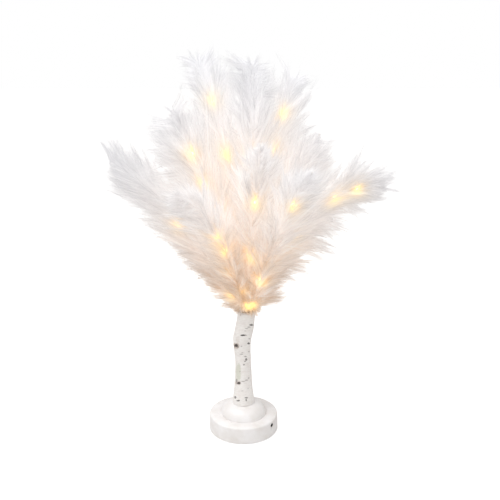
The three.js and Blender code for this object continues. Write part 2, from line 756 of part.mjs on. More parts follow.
class OffsetCurve extends THREE.Curve {
  constructor(branch, offset, from, to) {
    super();
    Object.assign(this, { branch, offset, from, to });
  }

  getPoint(t) {
    return beside(this.branch, this.from + (this.to - this.from) * t, 0, this.offset);
  }
}

function makeStem(branch) {
  return tubeAlong(branch.curve, stemRadius, stemSteps, wireSides);
}

function makeLights(branch) {
  const from = (headHeight + fitGap) / branch.length;
  const to = Math.max(...branch.lights) + bulbLength / branch.length;
  const steps = Math.ceil(stemSteps * (to - from));
  const wire = tubeAlong(new OffsetCurve(branch, wireOffset, from, to), wireRadius, steps, bulbSides);
  const bulbs = branch.lights.map((along) => {
    const bulb = new THREE.SphereGeometry(bulbRadius, wireSides, slotSteps);
    bulb.scale(1, bulbLength / (2 * bulbRadius), 1);
    const turn = new THREE.Quaternion().setFromUnitVectors(
      new THREE.Vector3(0, 1, 0), branch.curve.getTangentAt(along));
    return bulb.applyQuaternion(turn).translate(...beside(branch, along, 0, bulbOffset).toArray());
  });
  return join(wire, ...bulbs);
}

// Plumes

// Half the vane's width and half its thickness at a share of the stem's length.
function vaneSize(branch, along) {
  const grown = Math.min(1, (along - branch.foot) / (branch.fill - branch.foot)) ** vaneSwell;
  const rounding = (Math.max(0, along - tipStart) / (1 - tipStart)) ** 2;
  const halfWidth = (plumeWidth * branch.width) / 2;
  const halfThickness = plumeThickness / 2;
  return {
    across: (collarRadius + (halfWidth - collarRadius) * grown) * (1 - tipNarrowShare * rounding),
    deep: (collarRadius + (halfThickness - collarRadius) * grown)
      * (1 - tipThinShare * rounding),
  };
}

function vaneRing(branch, along, tuft) {
  const { across, deep } = vaneSize(branch, along);
  const width = across * tuft;
  return vaneSectionShares.map(([u, v]) => beside(
    branch, along, u * width, channelMiddle + v * deep - vaneCurlShare * u * u * width,
    vaneSweepShare * Math.abs(u) * width,
  ));
}

// The channel that holds the stem and its lights, as deep as a bulb wherever one is near.
function channelRing(branch, along, ahead = 0) {
  const near = branch.lights.some((light) => Math.abs(light - along) < 1 / stemSteps);
  const top = near ? bulbOffset + bulbRadius + channelGap : wireOffset + wireRadius + channelGap;
  const side = bulbRadius + channelGap;
  const middle = (top + channelFloor) / 2;
  const high = top - middle;
  return channelSectionShares.map(([u, v]) => {
    const flank = Math.sign(v) * (high - side / 2);
    const rise = Math.abs(v) < 1 ? flank : v * high;
    return beside(branch, along, u * side, middle + rise, ahead);
  });
}

function makePlume(branch) {
  const stations = [branch.foot];
  for (let i = 1; i <= stemSteps; i += 1) {
    if (i / stemSteps > branch.foot + 1 / (2 * stemSteps)) stations.push(i / stemSteps);
  }
  const vane = [];
  stations.forEach((along, i) => {
    if (i > 0) vane.push(vaneRing(branch, (stations[i - 1] + along) / 2, lobeShare));
    vane.push(vaneRing(branch, along, 1));
  });
  const channel = stations.map((along) => channelRing(branch, along));
  const past = 2 * fitGap;
  channel[channel.length - 1] = channelRing(branch, 1, past);
  const tip = beside(branch, 1, 0, channelMiddle, tipOverhang);
  return skin([...vane.reverse(), ...channel], [tip, beside(branch, 1, 0, channelMiddle, past)]);
}

// Assembly

function finish(color, roughness, metalness = 0) {
  return new THREE.MeshStandardMaterial({ color, roughness, metalness });
}

const finishes = {
  whitePlastic: finish(0xefebe8, 0.45),
  creamPlastic: finish(0xe6e1da, 0.55),
  blackPlastic: finish(0x222224, 0.5),
  rubber: finish(0xd9d6d0, 0.9),
  steel: finish(0xc8c8c6, 0.3, 1),
  cellSleeve: finish(0x5d6670, 0.4, 0.3),
  greenBoard: finish(0x2f6b4a, 0.5),
  pulp: finish(0xb89b78, 0.9),
  bark: finish(0xded6d0, 0.85),
  tape: finish(0x6e4a30, 0.8),
  stem: finish(0xe9e2d8, 0.85),
  light: finish(0xffd27a, 0.2),
  feather: finish(0xf6f2ef, 0.95),
};

const branches = branchShares.map(layBranch);
const lamp = new THREE.Group();

function add(name, geometry, material) {
  const mesh = new THREE.Mesh(geometry, material);
  mesh.name = name;
  lamp.add(mesh);
}

add('base_shell', makeBaseShell(), finishes.whitePlastic);
add('base_plate', makeBasePlate(), finishes.whitePlastic);
add('battery_door', makeBatteryDoor(), finishes.whitePlastic);
add('foot_ring', makeFootRing(), finishes.rubber);
for (let i = 0; i < cellCount; i += 1) add(`battery_${i + 1}`, makeCell(i), finishes.cellSleeve);
add('contact_positive', makeContact(1, 0, 0), finishes.steel);
add('contact_link_1', makeContact(-1, 0, 1, 0), finishes.steel);
add('contact_link_2', makeContact(1, 1, 2, 1), finishes.steel);
add('contact_negative', makeContact(-1, 2, 2, 2), finishes.steel);
add('circuit_board', makeBoard(), finishes.greenBoard);
add('switch_body', makeSwitchBody(), finishes.steel);
add('switch_slider', makeSlider(), finishes.blackPlastic);
add('charging_socket', makeChargingSocket(), finishes.blackPlastic);
const screwBase = plateLift - fitGap;
screwAzimuths.forEach((azimuth, i) => {
  const screw = makeScrew(screwBase, screwRadius, screwLength, screwHeadRadius, screwHeadHeight);
  const [x, y] = around(screwPitchRadius, azimuth);
  add(`base_screw_${i + 1}`, screw.translate(x, y, 0), finishes.steel);
});
add('trunk_screw', makeScrew(socketUnderside - fitGap, trunkScrewRadius, trunkScrewLength,
  trunkScrewHeadRadius, trunkScrewHeadHeight), finishes.steel);
add('trunk_core', makeTrunkCore(), finishes.pulp);
add('bark_wrap', makeBarkWrap(), finishes.bark);
add('trunk_lead', makeLead(), finishes.creamPlastic);
add('crown_plug', makeCrownPlug(), finishes.tape);
for (const branch of branches) {
  add(`branch_${branch.name}`, makeStem(branch), finishes.stem);
  add(`lights_${branch.name}`, makeLights(branch), finishes.light);
  add(`plume_${branch.name}`, makePlume(branch), finishes.feather);
}

export default lamp;
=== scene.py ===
"""Looks of the feather tree lamp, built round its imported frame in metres, +Z up.

The frame carries the construction and its joints. This script makes what the eye sees: the
feather plumes, the bark, the taped crown, the light strings and the moulded base.
"""

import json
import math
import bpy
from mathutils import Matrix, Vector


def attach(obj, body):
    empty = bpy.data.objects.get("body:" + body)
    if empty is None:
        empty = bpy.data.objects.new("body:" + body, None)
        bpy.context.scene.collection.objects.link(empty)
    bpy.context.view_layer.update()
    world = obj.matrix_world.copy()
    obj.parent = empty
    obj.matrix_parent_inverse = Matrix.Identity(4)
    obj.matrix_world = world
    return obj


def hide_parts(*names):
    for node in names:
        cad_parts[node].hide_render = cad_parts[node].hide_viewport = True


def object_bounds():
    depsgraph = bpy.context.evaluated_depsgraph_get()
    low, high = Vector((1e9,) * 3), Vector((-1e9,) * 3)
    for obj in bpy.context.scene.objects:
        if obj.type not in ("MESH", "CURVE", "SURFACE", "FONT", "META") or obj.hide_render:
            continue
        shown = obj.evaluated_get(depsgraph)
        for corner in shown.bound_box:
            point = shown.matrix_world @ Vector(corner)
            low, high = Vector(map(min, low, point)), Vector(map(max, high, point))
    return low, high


bl_info = {
    "name": "Feather tree lamp",
    "version": (1, 0, 0),
    "blender": (4, 5, 0),
    "location": "3D View > Sidebar > Lamp",
    "description": "Builds the looks of a feather tree lamp round its packed frame",
    "category": "Object",
}

from collections import namedtuple

import bpy
import numpy as np

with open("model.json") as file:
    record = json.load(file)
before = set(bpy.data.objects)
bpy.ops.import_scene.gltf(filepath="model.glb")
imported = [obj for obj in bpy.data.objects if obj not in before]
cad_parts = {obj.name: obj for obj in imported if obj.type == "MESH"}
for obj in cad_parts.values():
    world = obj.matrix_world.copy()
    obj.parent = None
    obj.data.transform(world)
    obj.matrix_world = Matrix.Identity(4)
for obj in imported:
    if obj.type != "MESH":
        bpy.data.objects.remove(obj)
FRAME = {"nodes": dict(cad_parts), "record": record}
CAD_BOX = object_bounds()
MM = 0.001

# Base, in millimetres as all lengths below, and as the frame has it
BASE_RADIUS = 55
BASE_HEIGHT = 28
BOSS_RADIUS = 36.75
BOSS_HEIGHT = 18
BOSS_TOP_RADIUS = 17.6
BOSS_CENTRE_SHARE = 0.2
GROOVE_WIDTH = 1.4
GROOVE_DEPTH = 0.8
GROOVE_LIP = 0.5
SHELL_WALL = 2.4
ROOF_CORNER = 2
SKIRT_LIFT = 1
SKIRT_EDGE = 0.5
WALL_DRAFT = 0.6
EDGE_RADIUS = 3
PEG_BORE = 12.3
BORE_EDGE = 0.4
SOCKET_FLOOR_TOP = 29.5
SOCKET_FLOOR = 27
SOCKET_TUBE = 14.5
SCREW_BORE = 2.1
INLET_HEIGHT = 20.4
INLET_AZIMUTH = -34
INLET_RADIUS = 3.3
CUT_INWARD = 5
CUT_OUTWARD = 3
FOOT_INNER = 44.5
FOOT_OUTER = 51.5
FOOT_HEIGHT = 1.5
FOOT_EDGE = 0.4

# Trunk and bark
BOSS_TOP = BASE_HEIGHT + BOSS_HEIGHT
TRUNK_HEIGHT = 159
TRUNK_TOP = BOSS_TOP + TRUNK_HEIGHT
TRUNK_RADIUS = 17
TRUNK_LEAN = 5.6
BARK_THICKNESS = 1.2
BARK_GAP = 0.3
BARK_SWELL = 0.35
BARK_GRAIN = 0.12
PORE_DEPTH = 0.35
SPOT_EDGE = 0.7
SPOT_END = 1.2
SEEN_RAGGED = 0.22
PORE_RAGGED = 0.25
SCAR_RAGGED = 0.3
SCAR_EDGE = 0.5
SEAM_AZIMUTH = -24
SEAM_STEP = 0.45
SEAM_WAVE = 7
SEAM_SWING = 0.05
SEAM_RISE = (-0.02, 0.05)
SEAM_FALL = (0.1, 0.75)
SEAM_START = (88, 96)
SEAM_END = (128, 138)
TORN_BAND = 6
TORN_TAN = 0.35
TORN_THINNING = 0.6
GREEN_SHARE = 0.55

# Marks on the bark's sides and back: how many, azimuths in half turns from the right, distances
# kept from the foot and the top, half widths and half heights, and strengths
BACK_PORES = 46
PORE_AZIMUTHS = (0.06, 0.94)
PORE_MARGINS = (4, 8)
PORE_WIDTHS = (1.6, 5.5)
PORE_HEIGHTS = (0.5, 1.1)
PORE_STRENGTHS = (0.35, 0.95)
BACK_SCARS = 9
SCAR_AZIMUTHS = (0.1, 0.9)
SCAR_MARGINS = (8, 14)
SCAR_WIDTH = 3.2
SCAR_HEIGHT = 2.2
SCAR_STRENGTHS = (0.2, 0.6)

# Crown, stems and lights. A ring of stem roots has its radius and its height on the crown
CROWN_RADIUS = 13
CROWN_HEIGHT = 9
CROWN_LIFT = 0.35
CROWN_TIP = 0.6
CROWN_FLAT = 0.2
PLUG_RADIUS = 9.2
PLUG_FOOT = -21.9
TAPE_PITCH = 2.4
TAPE_THICKNESS = 0.4
TAPE_SEAT = 0.45
LAP_SHARE = 0.8
TAPE_CRINKLE = 0.1
ROOT_RINGS = {"hub": (0, 1.5), "inner": (4.4, 1.5), "outer": (9, 3.4)}
STEM_RADIUS = 1.4
STEM_TAPER = 0.25
PAPER_PITCH = 5
PAPER_RIB = 0.04
WIRE_RADIUS = 0.28
WIRE_OFFSET = 2.15
WIRE_SWING = 0.35
WIRE_WAVE = 4
WIRE_START = 1
BULB_OFFSET = 3.6
BULB_RADIUS = 1.9
BULB_LENGTH = 6
BULB_ENDS = (0.02, 0.98)
BULB_FULLNESS = 0.85
BULB_BLUNTNESS = 0.75

# Plumes: their reach from the crown, and the room that their fluff fills
PLUME_REACH = 220
PLUME_RISE = 387
PLUME_WIDTH = 68
TIP_OVERHANG = 22
VANE_SWELL = 0.8
FLUFF_FOOT = 18
FLUFF_START = 0.01
FLUFF_FULL = 0.6
FLUFF_SHARE = 1.12
TIP_START = 0.82
TIP_RUN = 0.25
TIP_NARROWING = 0.22
ENVELOPE_SHARE = 0.024
QUILL_START = 0.97
QUILL_OVERHANG = 0.5
QUILL_SWELL = 1.1
QUILL_TAPER = 0.92

# Tufts: how they leave the quill, with the opening in degrees at shares of its length and the
# opening's limits in radians, how long they are, and how they hang
OPENING_SHARES = (0, 0.15, 0.3, 0.75, 1, 1.1)
OPENING_ANGLES = (44, 42, 35, 30, 25, 10)
OPENING_SPREAD = 0.25
LEAST_OPENING = 0.32
MOST_OPENING = 1.2
FLAT_SHARE = 0.5
FLAT_SPREAD = 0.42
COVER_SHARE = 0.16
COVER_SPREAD = 0.3
COVER_FLATNESS = 0.7
TUFT_LENGTHS = (0.5, 1.25)
ROOM_SHARES = (0.85, 1.1)
TIP_REACH = 0.2
TIP_ROOM = 0.45
SKIRT_SHARE = 0.8
SKIRT_START = 0.12
TIP_TRIM = 0.45
TRIM_START = 0.55
TRIM_RUN = 0.3
DROOP_START = 0.7
TIP_DROOP = {"hub": 2.2, "inner": 2.2, "outer": 1.2}
BENDS = (0.05, 0.4)
BEND_SHARE = 0.6
DROOPS = (0.04, 0.2)
SWAY = 0.15
COLLAR_SHARE = 0.02
COLLAR_STEP = 30
COLLAR_OPENING = 94
COLLAR_LENGTH = 15
COLLAR_TUFTS = 3
STRAY_SHARE_SPREAD = 0.015
STRAY_ROLL_SPREAD = 0.16
STRAY_OPENING_SPREAD = 0.08
STRAY_LENGTHS = (0.8, 1.1)

# Barbs of a tuft
BARB_POINTS = 5
BARB_LENGTHS = (0.7, 1.08)
BARB_SLIDE = 2.2
BARB_WAVE = 0.5
WAVE_TURN = 4
MIDDLE_SPREAD = 1.3
END_SPREAD = 0.5
LOOSE_SHARE = 0.14
LOOSE_SPREAD = 1.7
FLUFFED_LENGTHS = (15, 50)
FLUFFED_SHARES = (0.5, 1)
HELD_SHARES = (0.8, 0.98)
LEAST_HELD = 0.05
COARSE_SHARE = 0.16
COARSE_WIDTH = 1.9
FINE_WIDTH = 0.9
WIDTH_SPREAD = (0.75, 1.25)
WIDTH_PLACES = (0, 0.3, 1)
WIDTH_SHARES = (0.8, 1, 0.25)
BARB_TWIST = 0.7
TUFT_TONE = 0.97
TUFT_TONE_SPREAD = 0.16
BARB_TONE_SPREAD = 0.34
END_PAINTED_SHADE = 0.35

# Bulb light painted into the down's colour and glow: strength and reach of a bulb's wide haze and
# its halo, of its bright spot, and of the softer spot round that in the painted pool of light at
# the crown and outside it
BULB_LIGHT = {
    "haze": (0.05, 30),
    "halo": (0.25, 9),
    "spot": (0.6, 4),
    "pool_spot": (0.3, 7),
    "outer_spot": (0.07, 11),
}

# Painted light and shade in the down: the most painted warm light that near bulbs give, how narrow
# their light is across the vane, the painted pool of light at the crown, the painted shade that
# makes barbs greyer deep in the crown and at the outskirts, and its random painted depth from tuft
# to tuft
MOST_NEAR = 0.9
BEAM_SHARE = 0.25
POOL_REACH = 145
POOL_SHARE = 0.7
POOL_FALL = 1.5
POOL_PAINTED_SHADE = 0.2
CORE_PLACE = (0, 0, 385)
CORE_SCALE = (1, 0.6, 0.8)
CORE_REACH = 165
OUTSKIRT_PAINTED_SHADE = 0.42
PAINTED_DEPTH_SPREAD = 0.9
PAINTED_DEPTH_WARMTH = 0.5

# Finishes of the frame's own pieces by material slot: soft matt cable skin, dull black nylon, pale
# dry rubber and the board's green lacquer, with colour, shade and roughness, then bright plated
# steel and a satin printed sleeve, with colour and roughness
FRAME_PLASTICS = {
    "cream_plastic": ("soft_cable_pvc", "#E6E1DA", "#D9D2C8", 0.5),
    "black_plastic": ("black_nylon", "#242426", "#1B1B1D", 0.45),
    "rubber": ("non_slip_rubber", "#D6D2CB", "#C9C4BC", 0.85),
    "green_board": ("solder_mask_board", "#2F6B4A", "#275C3F", 0.4),
}
FRAME_METALS = {
    "steel": ("nickel_plated_steel", "#C9C8C4", 0.3),
    "cell_sleeve": ("printed_foil_sleeve", "#6B747E", 0.38),
}

# Stage: the floor's half width in millimetres and its whiteness to the camera, the strength of
# the surround's light, and the lamps' places and sizes in metres and powers in watts
FLOOR_HALF = 4000
FLOOR_WHITE = 0.6
SURROUND_LIGHT = 0.64
LAMP_AIM = (0, 0, 0.3)
AREA_LAMPS = (("key_lamp", (-0.6, -0.6, 2.5), 1.6, 44), ("fill_lamp", (1.5, -1.2, 1.2), 1.8, 2))

# How finely the surfaces are divided: rows, sides and steps of their grids
BASE_SIDES, FOOT_SIDES, INLET_SIDES = 192, 128, 40
EDGE_STEPS, BOSS_STEPS, ROOF_STEPS = 8, 22, 10
TRUNK_STEPS, TRUNK_SMOOTHING = 400, 16
BARK_ROWS, BARK_INNER_ROWS, BARK_SIDES = 330, 60, 150
CROWN_ROWS, CROWN_SIDES = 60, 72
CURVE_POINTS, EVEN_POINTS = 801, 241
STEM_ROWS, STEM_SIDES = 90, 12
WIRE_ROWS, WIRE_SIDES = 120, 6
BULB_ROWS, BULB_SIDES = 13, 14
QUILL_ROWS, QUILL_SIDES = 16, 8

# A colour Mix node's sockets: the share, its two colours and the colour that it gives
MIX_SHARE = 0
MIX_FIRST = 6
MIX_SECOND = 7
MIX_RESULT = 2

# Height, lean and girth along the trunk, as shares of its height, its lean and its foot
TRUNK_SHARES = (
    (0, 0, 1),
    (0.075, 0, 0.96),
    (0.165, -0.03, 0.86),
    (0.29, -0.07, 0.78),
    (0.415, -0.09, 0.72),
    (0.555, -0.24, 0.74),
    (0.655, -0.38, 0.81),
    (0.715, -0.28, 0.86),
    (0.79, 0.2, 0.86),
    (0.87, 0.6, 0.82),
    (0.945, 0.85, 0.795),
    (1, 1, 0.79),
)

# Branches: azimuth and facing in degrees, reach and sway as shares of the plumes' reach, rise as
# a share of theirs, lean at the start and the end in degrees, the vane's width as a share, and
# the bulbs' places as shares of the stem
Branch = namedtuple("Branch", "name ring azimuth facing reach sway rise start end width lights")
BRANCHES = [
    Branch(*row)
    for row in (
        ("centre", "hub", -90, 90, 0.045, 0.035, 1, 1, 2, 1.1, (0.31, 0.66)),
        ("top_left", "inner", 130, -90, 0.545, 0, 0.966, 3, 36, 1.25, (0.1, 0.64, 0.86)),
        ("top_right", "inner", 50, -90, 0.55, 0, 0.91, 4, 34, 1.25, (0.7, 0.86)),
        ("upper_left", "inner", 190, -98, 0.5, 0, 0.835, 14, 24, 1.3, (0.25, 0.67, 0.82)),
        ("upper_right", "inner", 2, -82, 0.51, 0, 0.735, 13, 32, 1.25, (0.05, 0.33)),
        ("front", "inner", -79, -84, 0.48, 0, 0.75, 12, 26, 1.25, (0.05, 0.37, 0.7)),
        ("left", "outer", 171, 75, 0.99, 0, 0.61, 30, 56, 1.2, (0.09, 0.55)),
        ("right", "outer", -19, -72, 0.99, 0, 0.54, 20, 94, 1.1, (0.47, 0.78, 0.9)),
        ("front_left", "outer", -125, -108, 0.8, 0, 0.585, 15, 62, 1.25, (0.46, 0.58)),
        ("front_right", "outer", -56, -70, 0.74, 0, 0.665, 22, 42, 1.25, (0.24, 0.8)),
        ("back_left", "outer", 131, -68, 0.84, 0, 0.66, 28, 50, 1.3, (0.5, 0.76)),
        ("back_right", "outer", 49, 68, 0.84, 0, 0.56, 30, 54, 1.3, (0.09, 0.6)),
    )
]

# Photograph: its camera, and marks on the bark by pixel (column, row, half width, half height,
# darkness from 0 to 1), read on the 500 by 500 picture
PICTURE = 500
CAMERA_PLACE = (10.5, -1200, 707)
CAMERA_DROP = 18.6
CAMERA_LENS = 60.3
CAMERA_SENSOR = 36
BARK_MARKS = (
    (243.1, 335.3, 3.3, 0.75, 1.0), (236.2, 345.4, 1.7, 1.7, 0.9),
    (238.0, 346.9, 1.2, 0.6, 0.6), (241.4, 346.3, 0.9, 0.6, 0.35),
    (251.2, 325.0, 2.0, 1.0, 0.75), (249.2, 327.2, 1.6, 0.6, 0.5),
    (246.6, 328.6, 1.5, 0.5, 0.4), (245.2, 331.0, 1.3, 0.5, 0.35),
    (248.6, 343.4, 1.5, 0.9, 0.85), (249.6, 338.8, 1.0, 0.7, 0.4),
    (241.6, 354.2, 2.2, 0.5, 0.5), (242.6, 352.6, 1.2, 0.5, 0.35),
    (245.4, 356.5, 1.3, 0.6, 0.5), (246.4, 359.6, 1.1, 1.3, 0.8),
    (245.0, 361.6, 1.0, 0.6, 0.6), (243.9, 364.7, 1.0, 0.7, 0.6),
    (248.9, 351.5, 0.9, 0.6, 0.4), (246.6, 380.2, 2.2, 0.5, 0.5),
    (248.7, 378.2, 1.0, 1.2, 0.35), (243.0, 381.4, 2.4, 0.5, 0.55),
    (238.6, 383.2, 2.2, 1.2, 0.95), (236.6, 380.6, 0.8, 1.6, 0.5),
    (235.1, 397.2, 1.0, 1.2, 0.7), (238.1, 400.8, 1.6, 0.7, 0.75),
    (246.5, 397.9, 1.7, 0.55, 0.85), (246.3, 400.2, 0.7, 1.3, 0.75),
    (242.2, 391.0, 1.4, 0.4, 0.3), (240.0, 371.8, 1.2, 0.4, 0.3),
    (248.0, 388.4, 1.0, 0.4, 0.3),
)
TAN_PATCHES = (
    (243.6, 310.4, 2.2, 1.4, 1.0),
    (252.6, 308.8, 2.6, 1.3, 0.9),
    (247.0, 311.5, 0.8, 2.6, 0.4),
    (240.5, 313.0, 0.8, 3.0, 0.4),
    (236.6, 345.4, 3.0, 3.2, 0.45),
    (238.4, 383.0, 3.4, 2.2, 0.35),
    (237.6, 340.0, 2.2, 4.0, 0.12),
)
GREEN_PATCH = (238.4, 371.5, 2.6, 9.5, 1.0)

# Tufts that stand out of the outline, by plume: share of the stem, turn round it and angle to
# it in degrees, length in millimetres, how many
STRAY_TUFTS = {
    "left": (
        (1.0, 0, 36, 48, 7), (0.94, 0, 46, 66, 8), (0.84, 0, 44, 72, 8), (1.0, 0, 70, 44, 6),
        (0.84, 0, 80, 46, 7), (0.08, 180, 58, 40, 8), (0.03, 178, 60, 34, 6),
        (0.44, 180, 44, 28, 5), (0.34, 180, 64, 52, 8), (0.24, 178, 66, 48, 8),
        (0.14, 175, 56, 36, 7),
    ),
    "right": (
        (0.72, 8, 56, 58, 4), (0.84, 0, 46, 90, 6), (0.84, 0, 57, 92, 6), (0.9, 0, 36, 74, 7),
        (0.06, 180, 66, 50, 9), (0.03, 178, 68, 46, 6), (0.97, 0, 46, 54, 8), (1.0, 0, 12, 30, 4),
        (0.84, 180, 44, 34, 5), (0.76, 180, 74, 58, 9), (0.62, 182, 66, 68, 8),
        (0.62, 180, 84, 60, 7), (0.5, 184, 72, 70, 9), (0.48, 180, 86, 72, 10),
        (0.4, 180, 74, 72, 9), (0.3, 175, 74, 68, 9), (0.2, 180, 70, 58, 9),
        (0.1, 175, 68, 48, 8),
    ),
    "front_right": (
        (0.22, 180, 54, 48, 6), (0.1, 180, 50, 56, 3), (0.34, 180, 60, 60, 8),
        (0.46, 180, 56, 62, 8),
    ),
    "back_right": (
        (0.34, 10, 56, 54, 7),
    ),
    "front_left": (
        (0.2, 5, 50, 42, 6), (0.12, 0, 44, 52, 3),
    ),
    "back_left": (
        (0.3, 5, 56, 46, 6), (0.72, 0, 52, 44, 7),
    ),
    "upper_left": (
        (0.98, -10, 22, 34, 3), (1.0, 180, 58, 46, 8), (0.72, 0, 78, 76, 8), (0.8, 0, 66, 72, 8),
        (0.94, 0, 56, 66, 8), (0.84, 0, 56, 80, 12), (0.9, 0, 48, 54, 10), (0.76, 0, 56, 72, 14),
        (0.6, 0, 60, 78, 14),
    ),
    "upper_right": (
        (0.95, 180, 50, 44, 8), (0.85, 180, 60, 52, 12), (0.7, 180, 62, 56, 10),
    ),
    "top_left": (
        (1.0, 0, 34, 44, 10), (0.99, 0, 50, 30, 8), (0.95, 6, 50, 36, 8), (1.0, 178, 22, 32, 8),
        (1.0, 0, 14, 34, 8), (1.0, 178, 56, 36, 12), (0.99, 178, 62, 50, 16),
        (0.9, 180, 62, 56, 16), (0.78, 180, 52, 56, 12),
    ),
    "centre": (
        (1.0, 0, 30, 24, 10), (1.0, 180, 66, 50, 12), (1.0, 180, 30, 22, 8),
        (0.98, 180, 54, 40, 9), (0.98, 0, 66, 34, 12), (0.9, 0, 62, 52, 16),
        (0.9, 180, 50, 50, 16), (0.8, 180, 50, 54, 12), (0.8, 0, 50, 54, 12),
    ),
    "top_right": (
        (1.0, 0, 54, 60, 4), (1.0, 0, 10, 22, 6), (1.0, 178, 36, 30, 6), (0.7, 180, 42, 90, 14),
        (0.62, 180, 46, 98, 14), (0.98, 178, 40, 38, 8), (0.6, 180, 58, 66, 14),
        (0.97, 0, 40, 46, 8), (0.9, 0, 52, 54, 14), (0.8, 0, 52, 54, 12), (0.92, 178, 44, 44, 8),
    ),
}


# Small tools


def linear(hex_colour):
    """An sRGB hex colour as linear red, green, blue and full opacity."""
    parts = np.array([int(hex_colour[i : i + 2], 16) for i in (1, 3, 5)]) / 255
    low = parts / 12.92
    high = ((parts + 0.055) / 1.055) ** 2.4
    return (*np.where(parts <= 0.04045, low, high).tolist(), 1.0)


def opaque(colour):
    """A setting's colour at full opacity."""
    return (*colour, 1)


def add_node(tree, kind, inputs=None, **settings):
    """Adds a shader node, applies its settings, joins or sets its inputs by name or number, and
    gives back its outputs."""
    node = tree.nodes.new(kind)
    for key, value in settings.items():
        setattr(node, key, value)
    for key, value in (inputs or {}).items():
        socket = node.inputs[key]
        if isinstance(value, bpy.types.NodeSocket):
            tree.links.new(value, socket)
        else:
            socket.default_value = value
    return node.outputs


def smoothstep(low, high, value):
    """Nought below low, one above high, and a smooth rise between."""
    t = np.clip((value - low) / (high - low), 0, 1)
    return t * t * (3 - 2 * t)


def unit(vectors):
    """The vectors at length one."""
    return vectors / np.maximum(np.linalg.norm(vectors, axis=-1, keepdims=True), 1e-12)


def noise(seed, *coordinates):
    """A smooth field, mostly between -1 and 1: a quarter of the sum of eight sine waves, each of
    random direction and phase."""
    rng = np.random.default_rng(seed)
    total = 0
    for _ in range(8):
        wave = sum(rng.normal() * c for c in coordinates)
        total = total + np.sin(wave + rng.uniform(0, 2 * np.pi))
    return total / 4


def polygon_mesh(name, points, faces):
    """A mesh from points in millimetres and a list of face arrays, one per corner count."""
    mesh = bpy.data.meshes.new(name)
    points = np.asarray(points, np.float32).reshape(-1, 3) * MM
    corners = np.concatenate([f.ravel() for f in faces])
    counts = np.concatenate([np.full(len(f), f.shape[1]) for f in faces])
    mesh.vertices.add(len(points))
    mesh.vertices.foreach_set("co", points.ravel())
    mesh.loops.add(len(corners))
    mesh.loops.foreach_set("vertex_index", corners.astype(np.int32))
    mesh.polygons.add(len(counts))
    starts = np.concatenate([[0], np.cumsum(counts)[:-1]])
    mesh.polygons.foreach_set("loop_start", starts.astype(np.int32))
    mesh.update(calc_edges=True)
    return mesh


def grid_faces(rows, columns, loop_rows=False, start=0):
    """The four corners of each cell of a grid of points. Its rows are rings, and its last row may
    join the first."""
    i = np.arange(rows if loop_rows else rows - 1)[:, None]
    j = np.arange(columns)[None, :]
    i2 = (i + 1) % rows
    j2 = (j + 1) % columns
    cells = [i * columns + j, i * columns + j2, i2 * columns + j2, i2 * columns + j]
    return np.stack([c.ravel() for c in cells], 1) + start


def new_object(name, data):
    """A new object at the origin, in the scene."""
    item = bpy.data.objects.new(name, data)
    bpy.context.scene.collection.objects.link(item)
    return item


def add_piece(name, mesh, materials, body, replaces=(), sharp=35):
    """Makes a finished mesh a piece, at the origin, on the body that it rides on."""
    mesh.shade_smooth()
    if sharp:
        mesh.set_sharp_from_angle(angle=math.radians(sharp))
    for material in materials:
        mesh.materials.append(material)
    piece = new_object(name, mesh)
    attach(piece, body)
    if replaces:
        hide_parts(*replaces)
    return piece


def use_second_material(mesh, faces, start):
    """Gives the second material to the faces whose first point is number start or later."""
    firsts = np.concatenate([f[:, 0] for f in faces])
    mesh.polygons.foreach_set("material_index", (firsts >= start).astype(np.int32))


def add_values(mesh, name, values):
    """Writes one number for each point as an attribute that a material reads."""
    layer = mesh.attributes.new(name, "FLOAT", "POINT")
    layer.data.foreach_set("value", np.asarray(values, np.float32).ravel())


def ring_angles(sides):
    """Even angles once round, the last one short of the first."""
    return np.linspace(0, 2 * np.pi, sides, endpoint=False)


def turned(profile, sides):
    """A closed outline of (radius, height) turned round Z, with one ring for each of its points."""
    angle = ring_angles(sides)
    radius, height = np.array(profile).T[:, :, None]
    return np.stack([radius * np.cos(angle), radius * np.sin(angle), height + 0 * angle], -1)


def arc(centre, radii, start, end, steps):
    """Points of an ellipse's arc, between two angles in degrees."""
    angles = np.radians(np.linspace(start, end, steps + 1))
    return [
        (centre[0] + radii[0] * math.cos(a), centre[1] + radii[1] * math.sin(a)) for a in angles
    ]


def tube_points(path, side, off, radius, sides):
    """Rings round a path: the path's point plus the radius times side by cosine and off by sine."""
    angle = ring_angles(sides)
    radius = np.broadcast_to(radius, len(path))[:, None, None]
    round_part = np.cos(angle)[None, :, None] * side[:, None]
    round_part = round_part + np.sin(angle)[None, :, None] * off[:, None]
    return path[:, None] + radius * round_part


def capped(rings, start=0):
    """Points and faces of a tube whose ends are closed by a fan to a middle point."""
    rows, sides = rings.shape[:2]
    middles = [rings[0].mean(0)[None], rings[-1].mean(0)[None]]
    points = np.concatenate([rings.reshape(-1, 3), *middles])
    quads = grid_faces(rows, sides, start=start)
    j = np.arange(sides)
    j2 = (j + 1) % sides
    low = np.stack([np.full(sides, rows * sides), j2, j], 1)
    top = (rows - 1) * sides
    high = np.stack([np.full(sides, rows * sides + 1), top + j, top + j2], 1)
    return points, (quads, np.concatenate([low, high]) + start)


def merged(tubes):
    """Several capped tubes as one set of points and faces."""
    points, quads, triangles, count = [], [], [], 0
    for rings in tubes:
        tube, (sides, ends) = capped(rings, count)
        points.append(tube)
        quads.append(sides)
        triangles.append(ends)
        count += len(tube)
    return np.concatenate(points), (np.concatenate(quads), np.concatenate(triangles))


# The branches' curves


def leaning(tilt, azimuth):
    """The direction that leans from upright by tilt towards azimuth, both in degrees."""
    t, a = math.radians(tilt), math.radians(azimuth)
    return np.array([math.sin(t) * math.cos(a), math.sin(t) * math.sin(a), math.cos(t)])


